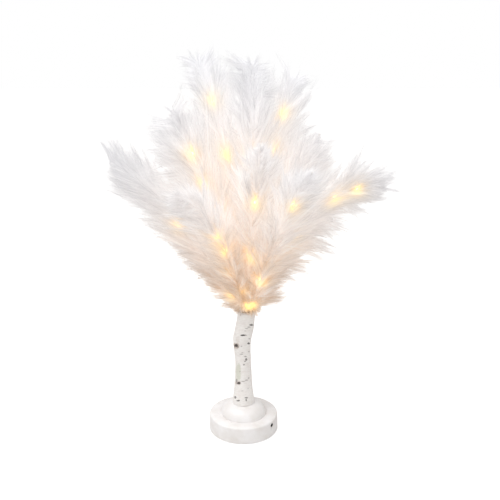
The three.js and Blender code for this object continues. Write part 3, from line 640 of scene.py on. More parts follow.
class Stem:
    """One branch's stem: a cubic curve from its root to its end, in even steps of its length."""

    def __init__(self, branch):
        radius, lift = ROOT_RINGS[branch.ring]
        out, aside = leaning(90, branch.azimuth), leaning(90, branch.azimuth + 90)
        root = np.array([TRUNK_LEAN, 0, TRUNK_TOP + lift]) + radius * out
        end = np.array([TRUNK_LEAN, 0, TRUNK_TOP + branch.rise * PLUME_RISE])
        end = end + PLUME_REACH * (branch.reach * out + branch.sway * aside)
        end = end - TIP_OVERHANG * leaning(branch.end, branch.azimuth)
        third = np.linalg.norm(end - root) / 3
        low = root + third * leaning(branch.start, branch.azimuth)
        high = end - third * leaning(branch.end, branch.azimuth)
        t = np.linspace(0, 1, CURVE_POINTS)[:, None]
        u = 1 - t
        curve = u**3 * root + 3 * u**2 * t * low + 3 * u * t * t * high + t**3 * end
        run = np.concatenate([[0], np.cumsum(np.linalg.norm(np.diff(curve, axis=0), axis=1))])
        self.length = run[-1]
        self.grid = np.linspace(0, 1, EVEN_POINTS)
        even = np.interp(self.grid, run / run[-1], t[:, 0])
        self.points = np.stack([np.interp(even, t[:, 0], curve[:, k]) for k in range(3)], 1)
        self.tangents = unit(np.gradient(self.points, axis=0))
        self.lit = leaning(90, branch.facing)

    def at(self, share):
        """Point, tangent, sideways and off directions at shares of the length. Past its end the
        stem runs straight on."""
        share = np.asarray(share, float)
        inside = np.clip(share, 0, 1)
        point, tangent = (
            np.stack([np.interp(inside, self.grid, values[:, k]) for k in range(3)], -1)
            for values in (self.points, self.tangents)
        )
        tangent = unit(tangent)
        point = point + tangent * ((share - inside) * self.length)[..., None]
        across = unit(np.cross(self.lit, tangent))
        return point, tangent, across, np.cross(tangent, across)

    def tube(self, share, radius, sides, lift=0, aside=0):
        """Rings round the stem at shares of its length, moved off and sideways from its line."""
        point, _, across, off = self.at(share)
        return tube_points(point + lift * off + aside * across, across, off, radius, sides)


STEMS = {branch.name: Stem(branch) for branch in BRANCHES}
BULB_PLACES = [STEMS[branch.name].at(np.array(branch.lights)) for branch in BRANCHES]
BULB_OUTWARD = np.concatenate([off for _, _, _, off in BULB_PLACES])
BULBS = np.concatenate([point for point, _, _, _ in BULB_PLACES]) + BULB_OFFSET * BULB_OUTWARD
CROWN = np.array([TRUNK_LEAN, 0, TRUNK_TOP])


def add_to_branch(branch, kind, points, faces, materials, slot, solid, sharp=35):
    """Adds a branch's piece of one kind, which stands for its solid and rides on its body."""
    name = f"{kind}_{branch.name}"
    mesh = polygon_mesh(name, points, faces)
    body = f"spray_{branch.name}" if branch.ring == "outer" else "lamp"
    add_piece(name, mesh, materials, body, [f"{solid}_{branch.name}"], sharp)
    return mesh


# Materials


def new_material(name, colour, roughness, **sockets):
    """A material whose Principled shader has these constant sockets set on itself."""
    material = bpy.data.materials.new(name)
    material.use_nodes = True
    tree = material.node_tree
    shader = tree.nodes["Principled BSDF"]
    shader.inputs["Base Color"].default_value = colour
    shader.inputs["Roughness"].default_value = roughness
    for key, value in sockets.items():
        shader.inputs[key.replace("_", " ")].default_value = value
    return material, tree, shader


def object_noise(tree, size_mm, detail=3, stretch=(1, 1, 1)):
    """Noise on Object coordinates whose features are about size_mm across."""
    place = add_node(tree, "ShaderNodeTexCoord")["Object"]
    mapped = add_node(tree, "ShaderNodeMapping", {"Vector": place, "Scale": stretch})["Vector"]
    inputs = {"Vector": mapped, "Scale": 1 / (size_mm * MM), "Detail": detail}
    return add_node(tree, "ShaderNodeTexNoise", inputs)["Fac"]


def two_tone(tree, field, first, second, span=(0.3, 0.7), most=1.0):
    """The first colour where a field is below the span, the second above it, as far as most."""
    inputs = {"Value": field, "From Min": span[0], "From Max": span[1], "To Max": most}
    share = add_node(tree, "ShaderNodeMapRange", inputs)["Result"]
    colours = {MIX_SHARE: share, MIX_FIRST: first, MIX_SECOND: second}
    return add_node(tree, "ShaderNodeMix", colours, data_type="RGBA")[MIX_RESULT]


def carried(tree, name, first, second, blend="MIX"):
    """The first colour turned to the second by a number that the mesh carries at each point."""
    share = add_node(tree, "ShaderNodeAttribute", attribute_name=name)["Fac"]
    colours = {MIX_SHARE: share, MIX_FIRST: first, MIX_SECOND: second}
    return add_node(tree, "ShaderNodeMix", colours, data_type="RGBA", blend_type=blend)[MIX_RESULT]


def grained(name, colour, roughness, grain, tones, relief=None):
    """A material whose one grain field, given as object_noise takes it, sets its two tones, and
    its relief by a strength and a depth in millimetres."""
    material, tree, shader = new_material(name, linear(colour), roughness)
    field = object_noise(tree, *grain)
    tone = two_tone(tree, field, linear(tones[0]), linear(tones[1]))
    tree.links.new(tone, shader.inputs["Base Color"])
    if relief:
        inputs = {"Height": field, "Strength": relief[0], "Distance": relief[1] * MM}
        bump = add_node(tree, "ShaderNodeBump", inputs)["Normal"]
        tree.links.new(bump, shader.inputs["Normal"])
    return material


def moulded_plastic(name, colour, shade, roughness, grain_mm=0.9):
    """Moulded plastic: a faint drift of tone from the melt and a fine satin skin from the tool."""
    material, tree, shader = new_material(name, colour, roughness)
    drift = two_tone(tree, object_noise(tree, 22), shade, colour, (0.35, 0.65))
    tree.links.new(drift, shader.inputs["Base Color"])
    skin = object_noise(tree, grain_mm, 4)
    inputs = {"Value": skin, "To Min": roughness - 0.06, "To Max": roughness + 0.08}
    satin = add_node(tree, "ShaderNodeMapRange", inputs)["Result"]
    tree.links.new(satin, shader.inputs["Roughness"])
    inputs = {"Height": skin, "Strength": 0.12, "Distance": 0.06 * MM}
    bump = add_node(tree, "ShaderNodeBump", inputs)["Normal"]
    tree.links.new(bump, shader.inputs["Normal"])
    return material


def brushed_metal(name, colour, roughness, grain_mm=0.3):
    """Plated sheet steel: fine rolled grain that stretches the highlights."""
    material, tree, shader = new_material(name, colour, roughness, Metallic=1.0)
    grain = object_noise(tree, grain_mm, 2, (1, 1, 12))
    inputs = {"Value": grain, "To Min": roughness - 0.08, "To Max": roughness + 0.12}
    satin = add_node(tree, "ShaderNodeMapRange", inputs)["Result"]
    tree.links.new(satin, shader.inputs["Roughness"])
    return material


def feather_material(settings):
    """Bleached feather barbs. Down scatters light many times over, so a faint glow in the barbs'
    own colour gives back what few bounces leave out, and it turns to the bulbs' colour near one."""
    white, grey_and_painted_shade = opaque(settings.feather_colour), opaque(settings.feather_shade)
    warm, lamp = opaque(settings.painted_warm_light_colour), opaque(settings.bulb_colour)
    material, tree, shader = new_material(
        "bleached_feather_barbs",
        white,
        0.85,
        Sheen_Weight=0.1,
        Sheen_Roughness=0.5,
        Specular_IOR_Level=0.2,
    )
    # Painted shade and random tone mix the barbs' colour towards the feather shade
    tone = carried(tree, "tone", grey_and_painted_shade, white)
    # Painted warm light from the bulbs and the crown's pool multiplies the barbs' colour, and near
    # a bulb the colour turns to its light
    lit = carried(tree, "painted_warm_light", tone, warm, "MULTIPLY")
    lit = carried(tree, "glow", lit, lamp)
    tree.links.new(lit, shader.inputs["Base Color"])
    tree.links.new(lit, shader.inputs["Emission Color"])
    # Painted light: every barb glows at the down glow, rising to the bulb glow at the painted spots
    # near a bulb, though the barbs are no lamp
    glow = add_node(tree, "ShaderNodeAttribute", attribute_name="glow")["Fac"]
    inputs = {"Value": glow, "To Min": settings.down_glow, "To Max": settings.bulb_glow}
    strength = add_node(tree, "ShaderNodeMapRange", inputs)["Result"]
    tree.links.new(strength, shader.inputs["Emission Strength"])
    through = add_node(tree, "ShaderNodeBsdfTranslucent", {"Color": lit})[0]
    inputs = {0: settings.sheerness, 1: shader.outputs[0], 2: through}
    both = add_node(tree, "ShaderNodeMixShader", inputs)[0]
    tree.links.new(both, tree.nodes["Material Output"].inputs["Surface"])
    return material


def quill_material():
    """A feather's quill: smooth pale horn, a little glossy."""
    return grained("pale_quill_horn", "#EFE6D6", 0.5, (6, 2), ("#E2D4BC", "#F3ECE0"))


def bark_material(settings):
    """Birch bark paper: chalky white with a faint grain round the trunk, dark pores, tan scars."""
    white = opaque(settings.bark_colour)
    material, tree, shader = new_material("birch_bark_paper", white, 0.72)
    fibre = object_noise(tree, 5, 5, (1, 1, 4.5))
    cloud = object_noise(tree, 11, 3, (1, 1, 1.6))
    colour = two_tone(tree, fibre, linear("#ECE7E3"), white, (0.3, 0.6))
    colour = two_tone(tree, cloud, colour, linear("#E6DED9"), (0.5, 0.75), 0.5)
    for name, stain in (("green", "#C9CDB9"), ("tan", "#8C6446"), ("pore", "#2E2724")):
        colour = carried(tree, name, colour, linear(stain))
    tree.links.new(colour, shader.inputs["Base Color"])
    inputs = {"Height": fibre, "Strength": 0.35, "Distance": 0.4 * MM}
    bump = add_node(tree, "ShaderNodeBump", inputs)["Normal"]
    tree.links.new(bump, shader.inputs["Normal"])
    return material


def tape_material():
    """Crepe floral tape: brown waxed paper, wound with a fine crinkle."""
    grain, tones = (0.8, 4, (1, 1, 3)), ("#6B4A31", "#A5825F")
    return grained("brown_floral_crepe_tape", "#7A5434", 0.7, grain, tones, (0.5, 0.3))


def wrapped_wire_material():
    """Florist's wire wound in cream paper: matt, with a fine crosswise thread."""
    grain, tones = (0.7, 2, (1, 1, 4)), ("#D8CAB2", "#F2EADC")
    return grained("paper_wrapped_wire", "#EAE0CF", 0.8, grain, tones, (0.4, 0.2))


def raw_wood():
    """Light raw wood, turned: long grain up the trunk."""
    grain, tones = (1.6, 4, (1, 1, 0.08)), ("#B08A5C", "#D8BC92")
    return grained("turned_light_wood", "#C9A77B", 0.65, grain, tones)


def bulb_material(settings):
    """Epoxy drop over a small diode: clear amber, lit, in two close tones."""
    material, tree, shader = new_material(
        "lit_epoxy_drop", linear("#FFE3A6"), 0.15, Emission_Strength=settings.bulb_strength
    )
    amber, deep = opaque(settings.bulb_colour), linear("#FFDC96")
    colour = two_tone(tree, object_noise(tree, 3, 1), amber, deep)
    tree.links.new(colour, shader.inputs["Emission Color"])
    return material


# Settings that a user would change


def colour_setting(name, description, hex_colour):
    """A colour that a user may change."""
    return bpy.props.FloatVectorProperty(
        name=name, description=description, default=linear(hex_colour)[:3], subtype="COLOR"
    )


def length_setting(name, description, default_mm):
    """A length that a user may change."""
    return bpy.props.FloatProperty(
        name=name, description=description, default=default_mm * MM, unit="LENGTH"
    )


def strength_setting(name, description, default):
    """A strength of light that a user may change."""
    return bpy.props.FloatProperty(name=name, description=description, default=default, min=0)


class LampSettings(bpy.types.PropertyGroup):
    """Sizes, counts and colours of the lamp's looks."""

    tufts: bpy.props.IntProperty(
        name="Tufts", description="Tufts of barbs on each plume", default=760, min=20
    )
    strands: bpy.props.IntProperty(
        name="Strands", description="Barbs in each tuft", default=22, min=4
    )
    strand_width: length_setting("Barb width", "Width of a barb at its middle", 0.4)
    tuft_spread: length_setting("Tuft spread", "How wide a tuft fluffs out", 4.2)
    plume_depth: length_setting("Plume depth", "Half the fluff's depth across the vane", 26)
    sheerness: bpy.props.FloatProperty(
        name="Sheerness",
        description="Share of light that passes through a barb",
        default=0.5,
        min=0,
        max=1,
        subtype="FACTOR",
    )
    # The feather shade is the colour that random tone and painted shade mix towards, the glow tint
    # is the colour of the painted warm light, and the down and bulb glows are painted light that
    # the barbs give off
    feather_colour: colour_setting("Feather", "Colour of the barbs", "#F9F9FA")
    feather_shade: colour_setting("Feather shade", "Colour of the greyer barbs", "#D0D0D2")
    painted_warm_light_colour: colour_setting("Glow tint", "Colour of barbs close to the bulbs", "#F9E4CD")
    bulb_colour: colour_setting("Bulb light", "Colour of the bulbs' light", "#FFEEB2")
    bark_colour: colour_setting("Bark", "Colour of the chalky bark", "#FAF7F4")
    base_colour: colour_setting("Base", "Colour of the moulded base", "#F7F5F5")
    down_glow: strength_setting("Down glow", "Scattered light given back by the barbs", 0.385)
    bulb_glow: strength_setting("Bulb glow", "Glow of the barbs that touch a bulb", 1.1)
    bulb_strength: strength_setting("Bulb strength", "Brightness of the bulbs", 3.5)


# Base


def base_profile():
    """The cover's outline: wall, rounded edge, flat ring, groove, domed boss, socket, and back
    inside. The boss and the inside of its dome are arcs of ellipses about one middle."""
    top = BASE_RADIUS - WALL_DRAFT
    groove = BOSS_RADIUS - GROOVE_WIDTH / 2
    centre = BOSS_TOP_RADIUS - (BOSS_RADIUS - BOSS_TOP_RADIUS) * BOSS_CENTRE_SHARE
    across, floor = groove - centre, BASE_HEIGHT - GROOVE_DEPTH
    high = BOSS_HEIGHT + GROOVE_DEPTH
    crest = math.degrees(math.acos((BOSS_TOP_RADIUS - centre) / across))
    inner = math.degrees(math.acos((SOCKET_TUBE - centre) / (across - SHELL_WALL)))
    roof = BASE_HEIGHT - SHELL_WALL
    wall = [(BASE_RADIUS - SKIRT_EDGE, SKIRT_LIFT), (BASE_RADIUS, SKIRT_LIFT + SKIRT_EDGE)]
    corner = (top - EDGE_RADIUS, BASE_HEIGHT - EDGE_RADIUS)
    edge = arc(corner, (EDGE_RADIUS, EDGE_RADIUS), 0, 90, EDGE_STEPS)
    ring = [
        (BOSS_RADIUS + GROOVE_WIDTH / 2 + GROOVE_LIP, BASE_HEIGHT),
        (BOSS_RADIUS + GROOVE_WIDTH / 2, BASE_HEIGHT - GROOVE_LIP / 2),
        (BOSS_RADIUS + GROOVE_WIDTH / 4, floor),
    ]
    dome = arc((centre, floor), (across, high), 0, crest, BOSS_STEPS)
    socket = [
        (PEG_BORE + BORE_EDGE, BOSS_TOP),
        (PEG_BORE, BOSS_TOP - BORE_EDGE),
        (PEG_BORE, SOCKET_FLOOR_TOP),
        (SCREW_BORE, SOCKET_FLOOR_TOP),
        (SCREW_BORE, SOCKET_FLOOR),
        (SOCKET_TUBE, SOCKET_FLOOR),
    ]
    hollow = (across - SHELL_WALL, high - SHELL_WALL)
    inside = arc((centre, floor), hollow, inner, 0, ROOF_STEPS)
    under = [
        (groove - SHELL_WALL, roof - GROOVE_DEPTH),
        (BOSS_RADIUS + GROOVE_WIDTH, roof),
        (top - SHELL_WALL - ROOF_CORNER, roof),
        (top - SHELL_WALL, roof - ROOF_CORNER),
        (BASE_RADIUS - SHELL_WALL, SKIRT_LIFT),
    ]
    return wall + edge + ring + dome + socket + inside + under


def turned_mesh(name, profile, sides):
    """A closed outline of (radius, height) turned round Z, as a mesh."""
    return polygon_mesh(name, turned(profile, sides), [grid_faces(len(profile), sides, True)])


class LAMP_OT_base(bpy.types.Operator):
    """Turns the moulded cover and its foot ring, and cuts the charging socket's hole."""

    bl_idname = "lamp.base"
    bl_label = "Base"

    def execute(self, context):
        colour = opaque(context.scene.lamp.base_colour)
        plastic = moulded_plastic("satin_moulded_abs", colour, linear("#ECE8E5"), 0.4)
        mesh = turned_mesh("base_cover", base_profile(), BASE_SIDES)
        cover = add_piece("base_cover", mesh, [plastic], "lamp", ["base_shell"])
        self.cut_inlet(cover)
        pale, dark = linear("#D6D2CB"), linear("#C9C4BC")
        rubber = moulded_plastic("pale_non_slip_rubber", pale, dark, 0.85, 0.6)
        ring = [
            (FOOT_INNER, FOOT_EDGE),
            (FOOT_INNER + FOOT_EDGE, 0),
            (FOOT_OUTER - FOOT_EDGE, 0),
            (FOOT_OUTER, FOOT_EDGE),
            (FOOT_OUTER, FOOT_HEIGHT),
            (FOOT_INNER, FOOT_HEIGHT),
        ]
        mesh = turned_mesh("foot_pad", ring, FOOT_SIDES)
        add_piece("foot_pad", mesh, [rubber], "lamp", ["foot_ring"])
        return {"FINISHED"}

    def cut_inlet(self, cover):
        """Cuts a round hole through the wall where the charging socket sits."""
        out, side = leaning(90, INLET_AZIMUTH), leaning(90, INLET_AZIMUTH + 90)
        reach = np.array([BASE_RADIUS - CUT_INWARD, BASE_RADIUS + CUT_OUTWARD])[:, None]
        path = reach * out + np.array([0, 0, INLET_HEIGHT])
        side, upward = np.tile(side, (2, 1)), np.tile([0, 0, 1.0], (2, 1))
        rings = tube_points(path, side, upward, INLET_RADIUS, INLET_SIDES)
        tool = new_object("tool", polygon_mesh("tool", *capped(rings)))
        cutter = cover.modifiers.new("inlet", "BOOLEAN")
        cutter.operation = "DIFFERENCE"
        cutter.object = tool
        with bpy.context.temp_override(object=cover, active_object=cover):
            bpy.ops.object.modifier_apply(modifier=cutter.name)
        bpy.data.objects.remove(tool)


# Trunk


def trunk_at(height):
    """The trunk's middle and radius at a height, as smooth curves through its table."""
    table = np.array(TRUNK_SHARES)
    fine = np.linspace(0, 1, TRUNK_STEPS + 1)
    share = np.clip((np.asarray(height, float) - BOSS_TOP) / TRUNK_HEIGHT, 0, 1)
    weights = np.hanning(2 * TRUNK_SMOOTHING + 1)
    found = []
    for column in (1, 2):
        values = np.interp(fine, table[:, 0], table[:, column])
        padded = np.pad(values, TRUNK_SMOOTHING, mode="reflect", reflect_type="odd")
        smooth = np.convolve(padded, weights / weights.sum(), mode="valid")
        found.append(np.interp(share, fine, smooth))
    return TRUNK_LEAN * found[0], TRUNK_RADIUS * found[1]


def to_picture(points):
    """Column and row at which points, in millimetres, stand in the photograph."""
    drop = math.radians(CAMERA_DROP)
    ahead = np.array([0, math.cos(drop), -math.sin(drop)])
    upward = np.array([0, math.sin(drop), math.cos(drop)])
    step = points - np.array(CAMERA_PLACE, float)
    scale = CAMERA_LENS / CAMERA_SENSOR * PICTURE / (step @ ahead)
    return PICTURE / 2 + step[..., 0] * scale, PICTURE / 2 - (step @ upward) * scale


def turn_from(around, azimuth):
    """The angle from an azimuth to each point round the trunk, within half a turn either way."""
    return (around - azimuth + np.pi) % (2 * np.pi) - np.pi


class Bark:
    """The grid of points on the bark: angle round the trunk and height, the trunk's middle and
    radius there, and a field that makes the edges of marks ragged."""

    def __init__(self, rows):
        heights = np.linspace(BOSS_TOP + BARK_GAP, TRUNK_TOP, rows)
        self.height = heights[:, None] + np.zeros((1, BARK_SIDES))
        self.around = ring_angles(BARK_SIDES)[None, :] + np.zeros((rows, 1))
        self.middle, self.radius = trunk_at(self.height)
        self.wobble = noise(3, self.height / 1.3, self.around * 9, np.sin(self.around) * 4)

    def skin(self, lift):
        """Points that stand off the trunk's radius by a lift."""
        radius = self.radius + lift
        x = self.middle + radius * np.cos(self.around)
        return np.stack([x, radius * np.sin(self.around), self.height], -1)

    def seen_marks(self, spots):
        """Soft-edged ellipses at their places in the photograph, on the trunk's front."""
        column, row = to_picture(self.skin(0))
        seen = smoothstep(-0.25, 0.05, -np.sin(self.around))
        field = np.zeros_like(self.height)
        for middle, level, wide, tall, strength in spots:
            distance = np.hypot((column - middle) / wide, (row - level) / tall)
            field = np.maximum(field, self.mark(seen * strength, distance, SEEN_RAGGED))
        return field

    def mark(self, strength, distance, ragged, edge=SPOT_EDGE):
        """A ragged spot: full strength inside its edge, and nought at a distance a little past
        one."""
        return strength * (1 - smoothstep(edge, SPOT_END, distance + ragged * self.wobble))

    def hidden_marks(self, pore, tan):
        """Scatters short level pores and a few scars over the sides and the back, in a fixed
        order."""
        rng = np.random.default_rng(21)
        for _ in range(BACK_PORES):
            azimuth, level = self.hidden_place(rng, PORE_AZIMUTHS, PORE_MARGINS)
            wide, tall = rng.uniform(*PORE_WIDTHS), rng.uniform(*PORE_HEIGHTS)
            distance = self.distance(azimuth, level, wide, tall)
            strength = rng.uniform(*PORE_STRENGTHS)
            pore = np.maximum(pore, self.mark(strength, distance, PORE_RAGGED))
        for _ in range(BACK_SCARS):
            azimuth, level = self.hidden_place(rng, SCAR_AZIMUTHS, SCAR_MARGINS)
            distance = self.distance(azimuth, level, SCAR_WIDTH, SCAR_HEIGHT)
            strength = rng.uniform(*SCAR_STRENGTHS)
            tan = np.maximum(tan, self.mark(strength, distance, SCAR_RAGGED, SCAR_EDGE))
        return pore, tan

    def hidden_place(self, rng, azimuths, margins):
        """An azimuth and a height drawn for a mark behind the trunk."""
        azimuth = rng.uniform(*azimuths) * np.pi
        return azimuth, rng.uniform(BOSS_TOP + margins[0], TRUNK_TOP - margins[1])

    def distance(self, azimuth, level, wide, tall):
        """How far each point is from a place on the trunk, where one is the edge of an ellipse."""
        turn = turn_from(self.around, azimuth)
        return np.hypot(turn * self.radius / wide, (self.height - level) / tall)

    def seam(self):
        """The sheet's lapped edge on the right: a step that fades out at its ends."""
        edge = np.radians(SEAM_AZIMUTH) + SEAM_SWING * np.sin(self.height / SEAM_WAVE)
        turn = turn_from(self.around, edge)
        step = smoothstep(*SEAM_RISE, turn) * (1 - smoothstep(*SEAM_FALL, turn))
        ends = smoothstep(*SEAM_START, self.height) * (1 - smoothstep(*SEAM_END, self.height))
        return step * ends

    def relief(self, pore, torn):
        """How far the outer skin stands off: soft swells, fine grain, sunk pores and the seam,
        less so along the torn top."""
        around, height = self.around, self.height
        swell = noise(7, height / 14, np.cos(around) * 2, np.sin(around) * 2)
        grain = noise(9, height / 1.6, around * 3)
        lift = BARK_SWELL * swell
        lift += BARK_GRAIN * grain - PORE_DEPTH * pore + SEAM_STEP * self.seam()
        return lift * (1 - TORN_THINNING * torn)


class LAMP_OT_trunk(bpy.types.Operator):
    """Wraps the trunk in birch bark with its pores, scars and lapped seam."""

    bl_idname = "lamp.trunk"
    bl_label = "Bark"

    def execute(self, context):
        bark, inside = Bark(BARK_ROWS), Bark(BARK_INNER_ROWS)
        pore, tan = bark.hidden_marks(bark.seen_marks(BARK_MARKS), bark.seen_marks(TAN_PATCHES))
        green = GREEN_SHARE * bark.seen_marks([GREEN_PATCH])
        frayed = bark.height + 2.5 * noise(5, bark.around * 2.0, bark.height / 9)
        torn = smoothstep(TRUNK_TOP - TORN_BAND, TRUNK_TOP, frayed)
        tan = np.maximum(tan, TORN_TAN * torn)
        outer, inner = bark.skin(bark.relief(pore, torn)), inside.skin(-BARK_THICKNESS)[::-1]
        faces = grid_faces(len(outer) + len(inner), BARK_SIDES, True)
        mesh = polygon_mesh("bark", np.concatenate([outer, inner]), [faces])
        for name, field in (("pore", pore), ("tan", tan), ("green", green)):
            add_values(mesh, name, np.concatenate([field, np.zeros(inner.shape[:2])]))
        material = bark_material(context.scene.lamp)
        add_piece("bark", mesh, [material], "lamp", ["bark_wrap"], sharp=60)
        return {"FINISHED"}


# Crown


class LAMP_OT_crown(bpy.types.Operator):
    """Winds the crown's plug in floral tape."""

    bl_idname = "lamp.crown"
    bl_label = "Crown"

    def execute(self, context):
        rows, sides = CROWN_ROWS, CROWN_SIDES
        share = np.linspace(0, 1, rows)[:, None] + np.zeros((1, sides))
        angle = ring_angles(sides)[None, :] + np.zeros((rows, 1))
        rise = share * (CROWN_HEIGHT - CROWN_FLAT)
        dome = CROWN_RADIUS * np.sqrt(np.clip(1 - (rise / CROWN_HEIGHT) ** 2, 0, 1))
        laps = (rise / TAPE_PITCH - angle / (2 * np.pi)) % 1
        radius = dome - TAPE_SEAT + TAPE_THICKNESS * smoothstep(0, LAP_SHARE, laps)
        radius = np.maximum(radius + TAPE_CRINKLE * noise(11, angle * 3, rise * 2), CROWN_TIP)
        rings = [radius * np.cos(angle), radius * np.sin(angle), CROWN_LIFT + rise]
        plug = turned([(PLUG_RADIUS, PLUG_FOOT), (PLUG_RADIUS, CROWN_LIFT)], sides)
        rings = np.concatenate([plug, np.stack(rings, -1)]) + CROWN
        mesh = polygon_mesh("crown_tape", *capped(rings))
        add_piece("crown_tape", mesh, [tape_material()], "lamp", ["crown_plug"])
        return {"FINISHED"}


# Branches and lights


class LAMP_OT_branches(bpy.types.Operator):
    """Sweeps each paper-wrapped stem from the crown up to its plume's end."""

    bl_idname = "lamp.branches"
    bl_label = "Branches"

    def execute(self, context):
        material = wrapped_wire_material()
        share = np.linspace(0, 1, STEM_ROWS)
        for branch in BRANCHES:
            stem = STEMS[branch.name]
            turns = share * stem.length / PAPER_PITCH
            ribs = 1 - PAPER_RIB + PAPER_RIB * np.sin(2 * np.pi * turns)
            radius = STEM_RADIUS * ribs * (1 - STEM_TAPER * share)
            surface = capped(stem.tube(share, radius, STEM_SIDES))
            add_to_branch(branch, "stem", *surface, [material], "stem", "branch")
        return {"FINISHED"}


class LAMP_OT_lights(bpy.types.Operator):
    """Runs each fine wire along its stem and sets the glowing drops on it."""

    bl_idname = "lamp.lights"
    bl_label = "Lights"

    def execute(self, context):
        wire = brushed_metal("tinned_copper_wire", linear("#D9C8B4"), 0.35)
        glow = bulb_material(context.scene.lamp)
        for branch in BRANCHES:
            stem = STEMS[branch.name]
            rings = [self.wire(stem, max(branch.lights))]
            rings += [self.drop(stem, place) for place in branch.lights]
            points, faces = merged(rings)
            mesh = add_to_branch(
                branch, "string", points, faces, [wire, glow], "light", "lights"
            )
            use_second_material(mesh, faces, WIRE_ROWS * WIRE_SIDES + 2)
        return {"FINISHED"}

    def wire(self, stem, last):
        """A wire beside the stem, swinging a little from side to side, to past the last drop."""
        start = (CROWN_HEIGHT + WIRE_START) / stem.length
        end = last + BULB_LENGTH / stem.length
        share = np.linspace(start, end, WIRE_ROWS)
        swing = WIRE_SWING * np.sin(share * stem.length / WIRE_WAVE)[:, None]
        return stem.tube(share, WIRE_RADIUS, WIRE_SIDES, WIRE_OFFSET, swing)

    def drop(self, stem, place):
        """A drop: its radius is a blunted half sine along its length, fuller towards its upper
        end."""
        t = np.linspace(*BULB_ENDS, BULB_ROWS)
        share = place + (t - 0.5) * BULB_LENGTH / stem.length
        radius = BULB_RADIUS * np.sin(np.pi * t**BULB_FULLNESS) ** BULB_BLUNTNESS
        return stem.tube(share, radius, BULB_SIDES, BULB_OFFSET)


# Plumes


def bulb_light(kind, square):
    """One kind of a bulb's light: a bell curve of a squared distance, as strong and as wide as its
    table says."""
    strength, reach = BULB_LIGHT[kind]
    return strength * np.exp(-square / (2 * reach**2))


def light_in_down(points):
    """Painted warm light, painted glow and painted shade of the down at points. Its painted warm
    light sums each bulb's wide haze and halo, and fills up in a painted pool of light at the crown.
    It glows close to a bulb, in a small bright spot and a softer one round it, which is smaller and
    brighter within the pool, though the barbs are no lamp. Painted shade makes the barbs greyer
    deep in the crown and at its outskirts, where there is less down behind them. A plume is thin
    across its vane, so a bulb's light reaches further that way, to both its faces."""
    flat = points.reshape(-1, 3)
    near, spot, inner, outer = np.zeros((4, len(flat)))
    # Painted light from each bulb: a wide haze and halo that tint the barbs warm, and bright spots
    # where the barbs glow
    for bulb, side in zip(BULBS, BULB_OUTWARD):
        step = flat - bulb
        square = (step**2).sum(1) - (step @ side) ** 2 * (1 - BEAM_SHARE**2)
        near = near + bulb_light("haze", square) + bulb_light("halo", square)
        spot = spot + bulb_light("spot", square)
        inner = np.maximum(inner, bulb_light("pool_spot", square))
        outer = outer + bulb_light("outer_spot", square)
    # Painted light: a pool of warm light round the crown
    height = flat[:, 2] - TRUNK_TOP
    aside = np.hypot(flat[:, 0] - TRUNK_LEAN, flat[:, 1])
    pool = POOL_SHARE * np.exp(-((np.hypot(height, aside) / POOL_REACH) ** POOL_FALL))
    painted_warm_light = 1 - (1 - np.clip(near, 0, MOST_NEAR)) * (1 - pool)
    glow = spot + inner * pool + outer * (1 - pool)
    # Painted shade: the barbs turn greyer deep in the crown's pool and at the outskirts, away from
    # the core
    core = np.linalg.norm((flat - np.array(CORE_PLACE)) * np.array(CORE_SCALE), axis=1)
    outskirts = 1 - np.exp(-((core / CORE_REACH) ** 2))
    grey_and_painted_shade = POOL_PAINTED_SHADE * pool + OUTSKIRT_PAINTED_SHADE * outskirts
    return [field.reshape(points.shape[:-1]) for field in (painted_warm_light, glow, grey_and_painted_shade)]


def plume_half_width(branch, share):
    """Half the fluff's width: it starts full at the crown, swells upwards, and draws in at the
    tip."""
    grown = np.clip(share / FLUFF_FULL, 0, 1) ** VANE_SWELL
    full = PLUME_WIDTH * branch.width / 2 * FLUFF_SHARE
    tip = np.clip((share - TIP_START) / TIP_RUN, 0, 1) ** 2
    return (FLUFF_FOOT + (full - FLUFF_FOOT) * grown) * (1 - TIP_NARROWING * tip)


def held_inside(line, rng):
    """Shortens each barb that would pass the frame's box and its small margin."""
    low, high = np.array(CAD_BOX) / MM
    margin = ENVELOPE_SHARE * (high - low)
    root, end = line[..., :1, :], line[..., -1:, :]
    step = end - root
    room = np.where(step > 0, high + margin - root, low - margin - root)
    share = np.min(room / np.where(np.abs(step) < 1e-6, 1e-6, step), -1, keepdims=True)
    share = np.minimum(share * rng.uniform(*HELD_SHARES, share.shape), 1)
    return root + (line - root) * np.clip(share, LEAST_HELD, 1)


def outward_from(roll, across, off):
    """Directions away from the quill, by a turn round it from sideways to off."""
    return np.cos(roll)[:, None] * across + np.sin(roll)[:, None] * off


def with_strays(branch, rng, *columns):
    """Adds the tufts that stand out of the outline, each a little off its place, and an outer
    plume's collar of down, which covers the crown."""
    rows = list(STRAY_TUFTS.get(branch.name, ()))
    if branch.ring == "outer":
        rows += [
            (COLLAR_SHARE, turn, COLLAR_OPENING, COLLAR_LENGTH, COLLAR_TUFTS)
            for turn in range(0, 360, COLLAR_STEP)
        ]
    if not rows:
        return columns
    share, roll, opening, length, number = np.array(rows).T
    share, roll, opening, length = (
        np.repeat(column, number.astype(int))
        for column in (share, np.radians(roll), np.radians(opening), length)
    )
    total = len(share)
    strays = (
        share + rng.normal(0, STRAY_SHARE_SPREAD, total),
        roll + rng.normal(0, STRAY_ROLL_SPREAD, total),
        opening * rng.normal(1, STRAY_OPENING_SPREAD, total),
        length * rng.uniform(*STRAY_LENGTHS, total),
    )
    return [np.concatenate(pair) for pair in zip(columns, strays)]


